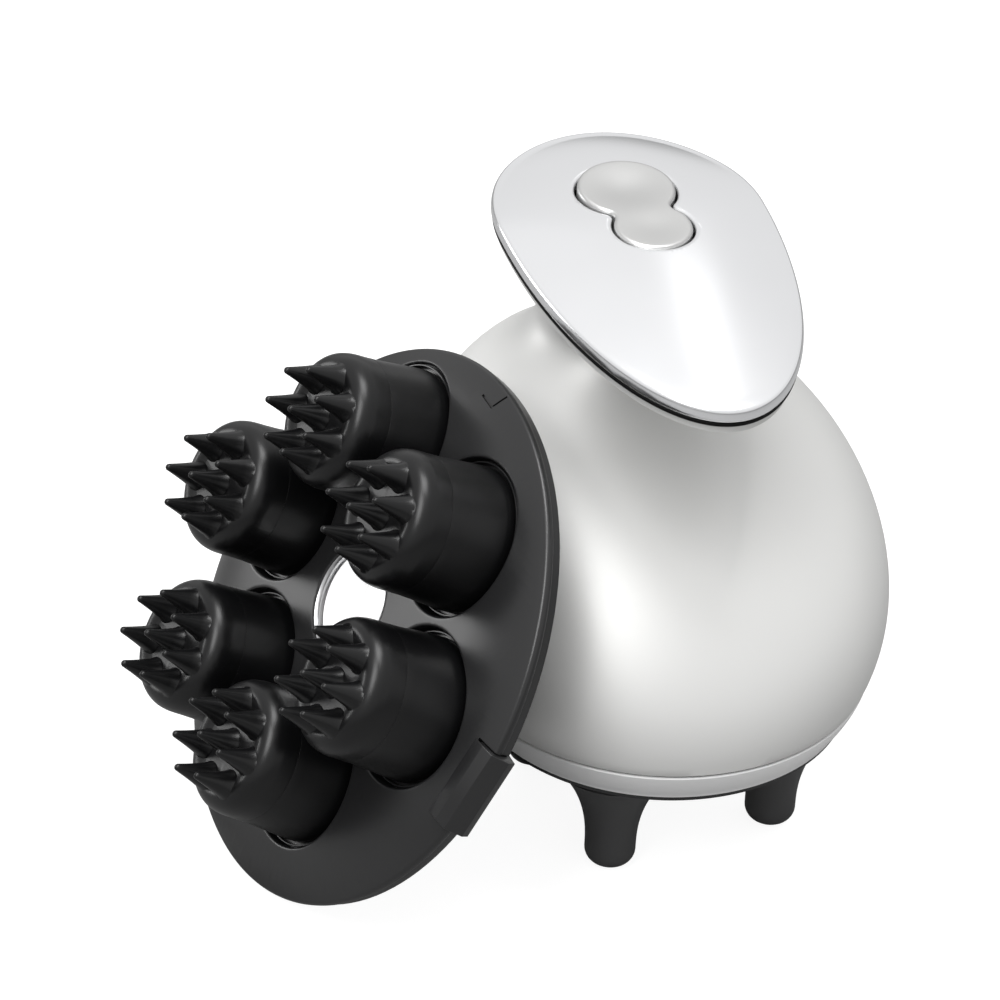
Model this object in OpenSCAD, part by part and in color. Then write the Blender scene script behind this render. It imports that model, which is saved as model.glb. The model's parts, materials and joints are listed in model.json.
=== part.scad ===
// Scalp massager: a drive unit with a palm plate, standing on its four-leg head,
// and a six-brush head that leans against it. Millimetres, +Z up, the narrow end of the plate to -Y.
// The origin is on the drive axis, at the flat underside of the leg disc.

/* [Body] */
// Radius of the body where the shell meets the band
parting_r = 43.3; // [42:0.1:45]
// Height of that parting line
parting_z = 9.1; // [8.6:0.1:10]
// Half width of the shell
shell_r = 50; // [49:0.1:52]
// Half height of the shell's ellipse
shell_h = 36.3; // [36:0.1:38]
// How far the shell leans back for each millimetre of height
shell_lean = 0.654; // [0.6:0.01:0.7]
// Added lean that grows with height, per 100 mm
shell_bend = 0.19; // [0.1:0.01:0.24]
// Wall of the shell, the band and the handle
wall = 2.2; // [1.8:0.1:2.6]
// Radius of the neck under the handle
neck_r = 17; // [16.5:0.1:19]
// Height of the joint between the shell and the handle
neck_z = 70; // [69:0.5:72]
// How far the neck stands behind the drive axis
neck_y = 38; // [36:0.5:39]

/* [Handle] */
// Height of the plate's rim above the drive face, on the drive axis
plate_z = 89; // [87:0.5:92]
// Slope of the plate down to its narrow end, in degrees
plate_tilt = 4.1; // [2:0.1:5]
// How far the widest place of the plate stands behind the drive axis
plate_y = 34; // [32:0.5:35]
// Length of the plate from its widest place to its broad end
plate_back = 33.4; // [32:0.1:35]
// Length of the plate from its widest place to its narrow end
plate_front = 68.9; // [64:0.1:72]
// Half width of the plate
plate_half = 28; // [26:0.1:30]
// Height of the plate's crown above its rim
crown = 6.2; // [5.8:0.1:7]
// Radius of the large lobe of the button
lobe_big = 10.4; // [9.6:0.1:11]
// Radius of the small lobe of the button
lobe_small = 8.9; // [8:0.1:9.4]
// Distance between the lobes' centres
lobe_gap = 13; // [12:0.1:13.6]
// How far the large lobe's centre stands behind the drive axis
lobe_y = 38.8; // [38:0.1:40]
// Gap around the button
button_gap = 0.4; // [0.3:0.05:0.6]

/* [Band and leg head] */
// Radius of the band at its lower edge
band_r = 40.1; // [39.6:0.1:41]
// Radius of the leg disc
disc_r = 39.6; // [38.8:0.1:39.6]
// Length of a leg, from the drive face to its tip
leg_len = 26.2; // [24:0.1:28]
// Radius of the circle of legs
leg_ring = 26.4; // [26:0.1:27]
// Radius of a leg's straight stem
leg_r = 5.3; // [5:0.1:5.6]
// Radius of a leg at its flared root
leg_root = 10.5; // [9:0.1:10.8]
// Angle at which the leg head has stopped, in degrees
leg_turn = 8.7; // [-10:0.1:10]

/* [Drive] */
// Radius of the drive boss that both heads plug onto
boss_r = 10.9; // [10.7:0.05:11]
// Radius of the drive shaft
shaft_r = 4; // [3.6:0.1:4.2]
// Teeth of the output gear
output_teeth = 40; // [38:1:42]
// Teeth of the idler's small wheel and of the motor pinion
pinion_teeth = 12; // [12:1:13]
// Teeth of the idler's large wheel
idler_teeth = 36; // [34:1:38]
// Radius of the motor can
motor_r = 12.2; // [11:0.1:12.4]
// Length of the motor can
motor_len = 26; // [22:0.5:27]

/* [Brush head] */
// Radius of the head's rim
rim_r = 57.5; // [57:0.1:58.5]
// Slope of the head away from upright, in degrees
head_lean = 30.4; // [29:0.1:31]
// Turn of the head about the vertical, in degrees
head_turn = 8; // [6:0.1:10]
// Gap between the head's back and the dome that it leans on
head_gap = 0.5; // [0.4:0.1:0.9]
// How far the rim's centre stands behind the drive axis
head_y = 2.4; // [0:0.1:4]
// How far the brush circle is set towards the top of the rim
hub_up = 2.4; // [1.6:0.1:3]
// How far the brush circle is set sideways within the rim
hub_side = 2.9; // [2:0.1:3.4]
// Radius of the circle of brushes
brush_ring = 34.5; // [34.5:0.5:34.5]
// Angle of the first brush on that circle, in degrees
brush_turn = 26; // [20:0.5:32]
// How far each brush tips towards the middle, in degrees
brush_tip = 2.3; // [1.5:0.1:3]
// Radius of the well around a brush
well_r = 16.2; // [16:0.1:16.6]
// Radius of a brush at its root
brush_r = 14.8; // [14.4:0.1:15]
// Radius of a brush at its seam
seam_r = 14; // [13.7:0.1:14.3]
// Height of the seam between a brush and its pad
seam_z = 15.5; // [14:0.1:16]
// Height of the pad's rim
pad_z = 23.2; // [22.4:0.1:24]
// Height of the tine tips
tine_z = 30.4; // [29:0.1:31]
// Radius of the circle of tines on a pad
tine_ring = 8.8; // [8.6:0.1:9.2]
// Radius of a tine at its root
tine_r = 3.5; // [3.1:0.1:3.6]
// Radius of the bore through the hub
hub_bore = 11; // [11:0.05:11.2]
// Teeth of the hub gear
hub_teeth = 45; // [45:1:45]

/* [Fits] */
// Radial clearance of a running fit
run_fit = 0.05; // [0.03:0.01:0.08]
// Gap between faces that turn past each other
side_gap = 0.3; // [0.25:0.05:0.4]

/* [Hidden] */
$fn = 64;
sides = 40;
brushes = 6;
legs = 4;
flare_len = 15.5;
leg_bend = 2.2;
// Module of the large gears, and of the motor's gears
gear_mod = 1;
fine_mod = 0.7;
floor_z = -leg_len;

// The shell's ellipse, placed so that it meets the parting line
shell_mid = parting_z + shell_h * sqrt(1 - pow(parting_r / shell_r, 2));
// Where the ellipse ends and the neck's curve begins
shell_end = shell_mid + 0.8 * shell_h;

// Drive unit's heights, from the drive face upwards
band_z = 1.6;
web_z = 3.6;
web_t = 2;
chassis_z = web_z + web_t;
chassis_t = 2;
bearing_r = 11;
bearing_h = 7;
bearing_z = chassis_z + 0.4;
output_z = 14.2;
wheel_t = 4;
idler_z = 19;
cover_z = 23.4;
cover_t = 2;
deck_z = cover_z + cover_t;
output_pitch = gear_mod * output_teeth / 2;
idler_y = gear_mod * (output_teeth + pinion_teeth) / 2;
motor_reach = fine_mod * (idler_teeth + pinion_teeth) / 2;
motor_angle = 30;
motor_x = motor_reach * cos(motor_angle);
motor_y = idler_y + motor_reach * sin(motor_angle);
pin_r = 2;
motor_shaft_r = 1.15;
post_r = 3;
// Radius of the chassis, inside the band and the shell's lip
chassis_r = min(band_r - wall - 1, parting_r - wall - 2.5);
// Circles of the chassis screws and of the cover's posts, and the first screw's angle
foot_ring = chassis_r - 3.9;
foot_turn = 15;
post_ring = chassis_r - 7.4;
// Radius of the gearbox cover and how far its middle stands behind the drive axis
cover_r = post_ring + 8.5;
cover_y = 5;
// Board and its four posts on the cover
board_w = 46;
board_l = 24;
board_y = -2;
post_x = 21;
post_y = 10;
post_h = 12.6;
neck_ring = 11.9;
// Charging contacts, which end in the band's slope
contact_x = 6;
contact_z = 4.4;
contact_r = 1.5;
contact_y = band_r - wall - 0.8;
contact_end = band_r + (parting_r - band_r) * (contact_z - band_z) / (parting_z - band_z);
// Radius of the band halfway up, where it bulges a little
bulge_r = (band_r + parting_r) / 2 + 0.3;
// Radius of the shell's lip, which drops inside the band
lip_r = parting_r - wall - 0.9;

// Brush head's heights, from the rim's plane outwards along the hub
face_h = 4;
rim_h = 0.5;
face_t = 1.8;
split_h = -1;
back_h = -7;
back_t = 1.8;
floor_h = 0.6;
floor_t = 1.4;
gear_h = -4.8;
gear_t = 3;
liner_r = hub_bore + 0.6;
key_turn = 51.5;
hub_pitch = gear_mod * hub_teeth / 2;
brush_teeth = 2 * brush_ring / gear_mod - hub_teeth;
spindle_r = 3;
tab_angle = -92;
tab_w = 18;
tab_travel = 1;
tab_seat = 7.2;
tab_leaf = 0.25;
screw_ring = 40;

// Top of the button and its lower edge, and its pivot, in the plate's frame
button_z = 6;
skirt_z = 1.9;
pivot_arm = 7.3;
pivot_y = lobe_y - pivot_arm;
pivot_z = -1.4;
// Where a leg's core ends inside its cover
core_z = -14;
// Depth of the dish in a pad, and the radius of a tine's tip
dish = 1.3;
tine_tip = 0.55;
// How far each brush has turned where it stopped, in degrees
tine_turns = [31, 34, 20, 22, 26, 26];

// Height of the rim's centre when the head's rim and back rest on the floor
head_rest = max([for (p = back_outline()) p[0] * cos(head_lean) - p[1] * sin(head_lean)]);
// The head's outward direction
head_out = [-cos(head_lean) * cos(head_turn), -cos(head_lean) * sin(head_turn), sin(head_lean)];
// How far the rim's centre stands beside the drive axis, so that the back just clears the unit
head_x = lean_place(lean_place(lean_place(rim_r)));

// ---- Shared shapes ----

// A ring with square edges
module ring(outer, inner, h) {
    difference() {
        cylinder(r = outer, h = h);
        translate([0, 0, -1]) cylinder(r = inner, h = h + 2);
    }
}

// Copies its children at equal steps around the Z axis
module around(count, radius, start = 0) {
    for (i = [0:count - 1]) rotate(start + i * 360 / count) translate([radius, 0, 0]) children();
}

// A skin through rings of points, the last of which joins the first: a wall open at both ends
module wall_loft(rings) {
    n = len(rings[0]);
    m = len(rings);
    points = [for (r = rings) each r];
    faces = [for (j = [0:m - 1], i = [0:n - 1]) each quad(j, (j + 1) % m, i, (i + 1) % n, n)];
    polyhedron(points, faces, convexity = 6);
}

// The two triangles between neighbouring rings
function quad(j, k, i, l, n) = [[j * n + i, k * n + i, k * n + l], [j * n + i, k * n + l, j * n + l]];

// A cubic from a to b with end slopes, where s runs from 0 to 1
function cubic(a, b, slope_a, slope_b, s) =
    a * (2 * s * s * s - 3 * s * s + 1) + slope_a * (s * s * s - 2 * s * s + s)
    + b * (3 * s * s - 2 * s * s * s) + slope_b * (s * s * s - s * s);

// One gear's outline: straight-sided teeth with backlash, the first on the X axis
function gear_points(teeth, mod) = let (pitch = mod * teeth / 2, quarter = 90 / teeth)
    [for (i = [0:teeth - 1], p = [[-1.45, -1.15], [-0.45, 0.85], [0.45, 0.85], [1.45, -1.15]])
        let (turn = i * 360 / teeth + p[0] * quarter * 0.86, reach = pitch + p[1] * mod)
        [reach * cos(turn), reach * sin(turn)]];

module gear(teeth, mod, h) {
    linear_extrude(height = h) polygon(gear_points(teeth, mod));
}

// Where a driven gear's first tooth points, so that it meshes with a gear whose first tooth is at lead
function mesh_turn(lead, along, teeth, other) =
    along + 180 + (along - lead) * teeth / other + 180 / other;

// A pan-head screw that points up, its head's underside at the origin
module screw(shank_r, shank_len, head_r, head_h) {
    difference() {
        union() {
            translate([0, 0, -head_h / 4]) cylinder(r = shank_r, h = shank_len + head_h / 4);
            translate([0, 0, -head_h]) cylinder(r = head_r, h = head_h);
        }
        translate([0, 0, -head_h - 0.01]) cylinder(r = head_r * 0.5, h = head_h * 0.6, $fn = 6);
    }
}

// ---- Shell and handle surfaces ----

function ellipse_r(z) = shell_r * sqrt(1 - pow((z - shell_mid) / shell_h, 2));
function lean_y(z) = shell_lean * (z - parting_z) + shell_bend * pow(z - parting_z, 2) / 100;
// The shell's radius and middle above the ellipse, on the way to the neck
function shell_radius(z) = z <= shell_end ? ellipse_r(z)
    : cubic(ellipse_r(shell_end), neck_r, -shell_r / shell_h * 0.8 / 0.6 * (neck_z - shell_end), 0,
        (z - shell_end) / (neck_z - shell_end));
function shell_y(z) = z <= shell_end ? lean_y(z)
    : cubic(lean_y(shell_end), neck_y,
        (shell_lean + shell_bend * (shell_end - parting_z) / 50) * (neck_z - shell_end) * 0.5, 0,
        (z - shell_end) / (neck_z - shell_end));
function shell_ring(z, inset, lift = 0) =
    [for (i = [0:sides - 1]) let (a = i * 360 / sides, r = shell_radius(z) - inset)
        [r * cos(a), shell_y(z) + r * sin(a), z + lift]];

// The plate's egg outline, drawn in by inset; a is 0 at +X and turns towards the broad end
function egg_len(a) = sin(a) > 0 ? plate_back : plate_front;
function egg(a, inset) = let (reach = egg_len(a), nx = reach * cos(a), ny = plate_half * sin(a),
    size = sqrt(nx * nx + ny * ny))
    [plate_half * cos(a) - inset * nx / size, plate_y + reach * sin(a) - inset * ny / size];
function egg_points(inset) = [for (i = [0:sides - 1]) egg(i * 360 / sides, inset)];
function egg_ring(inset, z) = [for (p = egg_points(inset)) [p[0], p[1], z]];

// The plate's own frame: its rim lies in the XY plane
module on_plate() {
    translate([0, 0, plate_z]) rotate([plate_tilt, 0, 0]) children();
}

function plate_rise(p) = [p[0], p[1] * cos(plate_tilt) - p[2] * sin(plate_tilt),
    plate_z + p[1] * sin(plate_tilt) + p[2] * cos(plate_tilt)];

// One ring of the flare from the neck out to the plate; s runs from 0 at the neck to 1 at the rim
function flare_ring(s, waist, inset, drop) = [for (i = [0:sides - 1])
    let (a = i * 360 / sides, out = 1 - cos(90 * s), up = sin(90 * s), rim = egg(a, inset),
        top = plate_rise([rim[0], rim[1], -drop]), low = [waist * cos(a), neck_y + waist * sin(a)])
    [low[0] + (top[0] - low[0]) * out, low[1] + (top[1] - low[1]) * out, neck_z + (top[2] - neck_z) * up]];

// The crown, as rings that shrink towards the plate's middle
crown_y = plate_y - (plate_front - plate_back) / 2;
function crown_ring(s, drop) = [for (p = egg_points(3))
    [p[0] * s, crown_y + (p[1] - crown_y) * s, 2.3 + (crown - 2.3) * (1 - s * s) - drop]];

// ---- Drive unit ----

module upper_shell() {
    steps = 11;
    rise = neck_z - parting_z;
    levels = [for (j = [0:steps]) parting_z + side_gap / 2 + (rise - side_gap / 2) * sin(90 * j / steps)];
    color([0.87, 0.87, 0.85]) {
        wall_loft(concat(
            [for (z = levels) shell_ring(z, 0)],
            [for (j = [steps:-1:0]) shell_ring(levels[j], wall)]));
        // Flange that the handle is screwed to
        translate([0, neck_y, neck_z - 2]) difference() {
            ring(neck_r - 0.6, 9, 2);
            around(4, neck_ring, 45) translate([0, 0, -1]) cylinder(r = 1.3, h = 4);
        }
        // Register lip that drops inside the band
        translate([0, 0, parting_z - 2]) ring(lip_r, lip_r - 1.4, 3);
        translate([0, 0, parting_z + side_gap / 2]) ring(parting_r - 0.8, lip_r - 1.4, 1);
    }
}

module parting_seal() {
    color([0.25, 0.25, 0.26])
        translate([0, 0, parting_z - side_gap / 2]) ring(parting_r - 0.5, parting_r - wall, side_gap);
}

module lower_band() {
    top = parting_z - side_gap / 2;
    color([0.7, 0.7, 0.71]) difference() {
        rotate_extrude() polygon([
            [14.6, web_z], [band_r - wall, web_z], [band_r - wall, band_z], [band_r - 0.3, band_z],
            [band_r, band_z + 0.4], [bulge_r, (band_z + top) / 2],
            [parting_r - 0.1, top - 0.3], [parting_r - 0.4, top], [parting_r - wall, top],
            [bulge_r - wall, web_z + web_t], [14.6, web_z + web_t]]);
        around(4, foot_ring, foot_turn) translate([0, 0, web_z - 1]) cylinder(r = 1.35, h = web_t + 2);
        around(4, foot_ring, foot_turn) translate([0, 0, web_z - 1]) cylinder(r = 2.5, h = 1.8);
        for (x = [-contact_x, contact_x]) translate([x, 0, contact_z]) rotate([-90, 0, 0])
            cylinder(r = contact_r, h = 60);
    }
}

module charge_contacts() {
    color([0.85, 0.7, 0.35]) for (x = [-contact_x, contact_x]) translate([x, contact_y, contact_z])
        rotate([-90, 0, 0]) cylinder(r = contact_r, h = contact_end - contact_y);
}

module chassis() {
    color([0.35, 0.36, 0.38]) difference() {
        union() {
            translate([0, 0, chassis_z]) cylinder(r = chassis_r, h = chassis_t);
            translate([0, 0, chassis_z]) cylinder(r = bearing_r + 2, h = bearing_h + 0.4);
            around(3, post_ring, -90) translate([0, 0, chassis_z]) cylinder(r = post_r, h = cover_z - chassis_z);
            around(4, foot_ring, foot_turn) translate([0, 0, chassis_z]) cylinder(r = post_r, h = 6);
            translate([0, idler_y, chassis_z]) cylinder(r = pin_r + 1.8, h = 4);
        }
        translate([0, 0, bearing_z]) cylinder(r = bearing_r, h = bearing_h + 1);
        translate([0, 0, chassis_z - 1]) cylinder(r = bearing_r - 2, h = 4);
        around(3, post_ring, -90) translate([0, 0, cover_z - 7]) cylinder(r = 1, h = 8);
        around(4, foot_ring, foot_turn) translate([0, 0, chassis_z - 1]) cylinder(r = 1.25, h = 6);
        translate([0, idler_y, chassis_z + 1]) cylinder(r = pin_r, h = 5);
    }
}

module chassis_screws() {
    color([0.6, 0.6, 0.62]) around(4, foot_ring, foot_turn) translate([0, 0, web_z + 0.8]) screw(1.25, 5.8, 2.3, 0.8);
}

module lower_bearing() {
    color([0.75, 0.75, 0.77]) translate([0, 0, bearing_z]) difference() {
        ring(bearing_r, shaft_r + run_fit, bearing_h);
        for (z = [-0.01, bearing_h - 0.49]) translate([0, 0, z]) ring(bearing_r - 2, shaft_r + 2, 0.5);
    }
}

// The four posts that carry the main board
module on_posts() {
    for (x = [-post_x, post_x], y = [-post_y, post_y]) translate([x, board_y + y, 0]) children();
}

module gearbox_cover() {
    color([0.35, 0.36, 0.38]) difference() {
        union() {
            translate([0, cover_y, cover_z]) cylinder(r = cover_r, h = cover_t);
            translate([motor_x, motor_y, cover_z]) cylinder(r = motor_r, h = cover_t);
            on_posts() translate([0, 0, deck_z - 0.01]) cylinder(r = 2.2, h = post_h + 0.01);
        }
        translate([0, 0, cover_z - 1]) cylinder(r = 6.5, h = cover_t + 2);
        translate([0, idler_y, cover_z - 1]) cylinder(r = pin_r, h = cover_t + 2);
        translate([motor_x, motor_y, cover_z - 1]) cylinder(r = 5, h = cover_t + 2);
        around(3, post_ring, -90) translate([0, 0, cover_z - 1]) cylinder(r = 1.1, h = cover_t + 2);
        on_posts() translate([0, 0, deck_z + 4]) cylinder(r = 0.9, h = post_h);
    }
}

module upper_bush() {
    color([0.72, 0.55, 0.3]) translate([0, 0, cover_z - 1.4]) ring(6.5, shaft_r + run_fit, cover_t + 1.4);
}

module cover_screws() {
    color([0.6, 0.6, 0.62]) around(3, post_ring, -90) translate([0, 0, deck_z]) rotate([180, 0, 0])
        screw(1, 8, 2, 1.2);
}

module idler_pin() {
    color([0.75, 0.75, 0.77]) translate([0, idler_y, chassis_z + 1]) cylinder(r = pin_r, h = deck_z - chassis_z - 1);
}

idler_lead = mesh_turn(0, 90, output_teeth, pinion_teeth);
module idler_gear() {
    color([0.9, 0.88, 0.8]) translate([0, idler_y, 0]) difference() {
        union() {
            translate([0, 0, output_z - 0.2]) rotate(idler_lead) gear(pinion_teeth, gear_mod, idler_z - output_z + 0.3);
            translate([0, 0, idler_z]) gear(idler_teeth, fine_mod, wheel_t - 1);
            translate([0, 0, chassis_z + 4 + side_gap]) cylinder(r = 3.6, h = output_z - chassis_z - 4 - side_gap);
            translate([0, 0, idler_z + wheel_t - 1.01]) cylinder(r = 4, h = cover_z - idler_z - wheel_t + 0.71);
        }
        translate([0, 0, chassis_z]) cylinder(r = pin_r + run_fit, h = cover_z - chassis_z + 1);
    }
}

module motor() {
    color([0.7, 0.71, 0.73]) translate([motor_x, motor_y, deck_z]) difference() {
        union() {
            cylinder(r = motor_r, h = motor_len);
            translate([0, 0, -1.6]) cylinder(r = 4.9, h = 2);
            translate([0, 0, motor_len - 0.01]) cylinder(r = 4, h = 1.5);
            for (x = [-6, 6]) translate([x - 0.3, -1.2, motor_len - 0.01]) cube([0.6, 2.4, 2.6]);
        }
        translate([0, 0, -3]) cylinder(r = motor_shaft_r + run_fit, h = 13);
    }
}

module motor_pinion() {
    lead = mesh_turn(0, motor_angle, idler_teeth, pinion_teeth);
    color([0.85, 0.7, 0.35]) translate([motor_x, motor_y, 0]) {
        translate([0, 0, idler_z - 0.3]) rotate(lead) gear(pinion_teeth, fine_mod, 3.6);
        translate([0, 0, idler_z - 0.6]) cylinder(r = motor_shaft_r, h = deck_z + 9 - idler_z + 0.6);
    }
}

module battery() {
    color([0.3, 0.45, 0.7]) translate([-18, -14, deck_z]) cube([36, 22, 9.5]);
}

module battery_strap() {
    color([0.5, 0.5, 0.52]) translate([-18.8, -7, deck_z]) difference() {
        cube([37.6, 8, 10.2]);
        translate([0.7, -1, -1]) cube([36.2, 10, 10.6]);
    }
}

module main_board() {
    color([0.1, 0.4, 0.2]) translate([0, 0, deck_z + post_h]) {
        difference() {
            translate([-board_w / 2, board_y - board_l / 2, 0]) cube([board_w, board_l, 1.4]);
            on_posts() translate([0, 0, -1]) cylinder(r = 1, h = 4);
        }
        translate([-8, -6, 1.39]) cube([9, 9, 1.2]);
        translate([6, -9, 1.39]) cube([7, 5, 3]);
        translate([8, 2, 1.39]) cube([5, 4, 1.6]);
    }
}

module rotor_seal() {
    color([0.12, 0.12, 0.12]) translate([0, 0, web_z - 1]) ring(18, 16.4, 1);
}

// ---- Drive and leg head ----

module drive_shaft() {
    color([0.75, 0.75, 0.77]) translate([0, 0, -2]) cylinder(r = shaft_r, h = deck_z + 1.6);
}

module drive_boss() {
    color([0.75, 0.75, 0.77]) difference() {
        union() {
            translate([0, 0, -4]) cylinder(r = boss_r, h = 8.4);
            translate([0, 0, -4]) around(3, boss_r - 0.4) translate([0, -0.9, 0]) cube([1.6, 1.8, 7]);
            translate([0, 0, 4.39]) cylinder(r = 6, h = bearing_z - 4.39);
        }
        translate([0, 0, -2]) cylinder(r = shaft_r, h = 20);
    }
}

module output_gear() {
    color([0.9, 0.88, 0.8]) difference() {
        union() {
            translate([0, 0, output_z]) gear(output_teeth, gear_mod, wheel_t);
            translate([0, 0, bearing_z + bearing_h]) cylinder(r = 5.6, h = cover_z - 1.7 - bearing_z - bearing_h);
        }
        translate([0, 0, bearing_z]) cylinder(r = shaft_r, h = 20);
        around(5, output_pitch * 0.62) translate([0, 0, output_z - 1]) cylinder(r = 4, h = wheel_t + 2);
    }
}

module leg_disc() {
    top = web_z - 1.2;
    color([0.27, 0.27, 0.28]) rotate(leg_turn) difference() {
        rotate_extrude() polygon([
            [0, -6], [13, -6], [14, -5], [14, 0], [disc_r - 0.8, 0], [disc_r, 0.6], [disc_r - 0.1, band_z - side_gap],
            [band_r - wall - 0.4, band_z - side_gap], [band_r - wall - 0.6, top], [0, top]]);
        translate([0, 0, -4]) cylinder(r = boss_r, h = 20);
        rotate(-leg_turn) translate([0, 0, -4]) around(3, boss_r - 0.4) translate([0, -0.9, 0]) cube([1.6, 1.8, 20]);
        around(legs, leg_ring, -45) translate([0, 0, -1]) cylinder(r = 3, h = 6);
    }
}

module leg_cores() {
    color([0.2, 0.2, 0.21]) rotate(leg_turn) around(legs, leg_ring, -45)
        translate([0, 0, core_z]) cylinder(r = 3, h = web_z - 1.2 - core_z);
}

// A leg's outline: flared root, slender stem and rounded tip
function leg_outline() = concat(
    [[3, 0], [leg_root, 0]],
    [for (s = [0.12:0.12:0.9]) [leg_r + (leg_root - leg_r) * pow(1 - s, leg_bend), -flare_len * s]],
    [[leg_r, -flare_len], [leg_r, 3.2 - leg_len]],
    [for (a = [15:15:75]) [leg_r - 3 + 3 * cos(a), 3.2 - leg_len - 3.2 * sin(a)]],
    [[leg_r - 3, -leg_len], [0, -leg_len], [0, core_z], [3, core_z]]);

module leg_covers() {
    color([0.2, 0.2, 0.21]) rotate(leg_turn) around(legs, leg_ring, -45)
        rotate_extrude() polygon(leg_outline());
}

// ---- Handle ----

module handle_under() {
    steps = 7;
    color([0.87, 0.87, 0.85]) {
        wall_loft(concat(
            [for (j = [0:steps]) flare_ring(j / steps, neck_r, 1, 2.6)],
            [egg_ring_raised(1, -0.6), egg_ring_raised(5.2, -0.6)],
            [for (j = [steps:-1:0]) flare_ring(j / steps, neck_r - wall, 5.2, 0.9)]));
        translate([0, neck_y, neck_z]) difference() {
            union() {
                ring(neck_r - 0.6, 9, 2);
                around(4, neck_ring, 45) cylinder(r = 2.6, h = 6);
            }
            around(4, neck_ring, 45) translate([0, 0, -1]) cylinder(r = 1.25, h = 6);
        }
    }
}

function egg_ring_raised(inset, z) = [for (p = egg_ring(inset, z)) plate_rise(p)];

module neck_screws() {
    color([0.6, 0.6, 0.62]) translate([0, neck_y, neck_z - 2]) around(4, neck_ring, 45) screw(1.25, 6, 2.2, 1.4);
}

// The frame that closes the handle and carries the switches in a tray
module handle_frame() {
    color([0.3, 0.3, 0.32]) on_plate() difference() {
        union() {
            translate([0, 0, -0.6]) linear_extrude(height = 1.4) polygon(egg_points(4.2));
            translate([-11, lobe_y - 24, -7]) cube([22, 34, 7]);
        }
        translate([-9.6, lobe_y - 22.6, -5.4]) cube([19.2, 31.2, 8]);
        translate([-12, pivot_y, pivot_z]) rotate([0, 90, 0]) cylinder(r = 1, h = 24);
    }
}

module plate_seal() {
    color([0.08, 0.08, 0.08]) on_plate() translate([0, 0, -0.6]) difference() {
        linear_extrude(height = 0.6) polygon(egg_points(0.9));
        translate([0, 0, -1]) linear_extrude(height = 3) polygon(egg_points(2.6));
    }
}

module lobes(grow, h) {
    translate([0, lobe_y, 0]) cylinder(r = lobe_big + grow, h = h);
    translate([0, lobe_y - lobe_gap, 0]) cylinder(r = lobe_small + grow, h = h);
}

module handle_plate() {
    rolled = [[2.6, 0], [0.5, 0], [0, 0.6], [0.2, 1.4], [0.9, 2.1], [2, 2.4], [3, 2.3]];
    rings = [for (r = rolled) egg_ring(r[0], r[1])];
    color([0.86, 0.87, 0.88]) on_plate() difference() {
        wall_loft(concat(rings,
            [for (s = [0.85, 0.65, 0.4, 0.02]) crown_ring(s, 0)],
            [for (s = [0.02, 0.4, 0.65, 0.85, 0.98]) crown_ring(s, 1.4)]));
        translate([0, 0, -1]) lobes(button_gap, 20);
    }
}

module switch_board() {
    color([0.1, 0.4, 0.2]) on_plate() translate([0, 0, -5.4]) {
        translate([-9, lobe_y - 22, 0]) cube([18, 30, 1.2]);
        for (y = [-1, 1] * pivot_arm) translate([-3, pivot_y + y - 3, 1.19]) cube([6, 6, 1.2]);
    }
}

module button_pin() {
    color([0.75, 0.75, 0.77]) on_plate() translate([-10.9, pivot_y, pivot_z]) rotate([0, 90, 0])
        cylinder(r = 1, h = 21.8);
}

module button() {
    color([0.78, 0.78, 0.79]) on_plate() difference() {
        union() {
            translate([0, 0, skirt_z]) lobes(0, button_z - skirt_z);
            translate([-6, pivot_y - 3, pivot_z - 1.2]) cube([12, 6, skirt_z - pivot_z + 1.4]);
            for (y = [-1, 1] * pivot_arm) translate([0, pivot_y + y, pivot_z - 1.15]) cylinder(r = 1.6, h = 4.7);
        }
        translate([0, lobe_y, button_z + 38]) sphere(r = 38.8);
        translate([-20, pivot_y, pivot_z]) rotate([0, 90, 0]) cylinder(r = 1 + run_fit, h = 40);
    }
}

// ---- Brush head ----

// The head's own frame: the hub axis is Z, and X points up along the face
module on_head() {
    translate([-head_x, head_y, floor_z + head_rest]) rotate([0, 0, head_turn]) rotate([0, head_lean - 90, 0])
        translate([hub_up, hub_side, 0]) children();
}

// The rim's own middle, within the head's frame
module on_rim() {
    translate([-hub_up, -hub_side, 0]) children();
}

// The frame of one brush, tipped towards the hub
module on_brush(k) {
    on_head() rotate(brush_turn - (k - 1) * 60) translate([brush_ring, 0, 0]) rotate([0, -brush_tip, 0]) children();
}

// Outline of the head's back, from the rim inwards
function back_outline() = [[rim_r, 0], [rim_r - 0.7, -3], [rim_r - 4.5, -5.5], [rim_r - 10.5, back_h]];

// Points on the dome, the parting line and the band's lower edge, on the head's side
function lean_points() = concat(
    [for (z = [parting_z:2:56], a = [120:5:240]) [shell_radius(z) * cos(a), shell_y(z) + shell_radius(z) * sin(a), z]],
    [for (a = [120:5:240]) [band_r * cos(a), band_r * sin(a), band_z]]);

// Depth of the head's back at a distance from the rim's middle
function back_depth(r) = lookup(r, [for (p = back_outline()) p]);

// The rim's place that clears the unit by the gap, worked out from a nearby place
function lean_place(x) = let (centre = [-x, head_y, floor_z + head_rest],
    rooms = [for (p = lean_points()) let (h = (p - centre) * head_out, r = norm(p - centre - h * head_out))
        r < rim_r ? back_depth(r) - h : 100])
    x + (head_gap - min(rooms)) / (cos(head_lean) * cos(head_turn));

// Height of the face at a distance from the rim's middle
function face_height(r) = rim_h + (face_h - rim_h) * (1 - pow(r / rim_r, 8));
face_steps = [0, 20, 30, 36, 41, 45, 48, 50.5, 52.5, 54.2, 55.6, 56.6];

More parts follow.
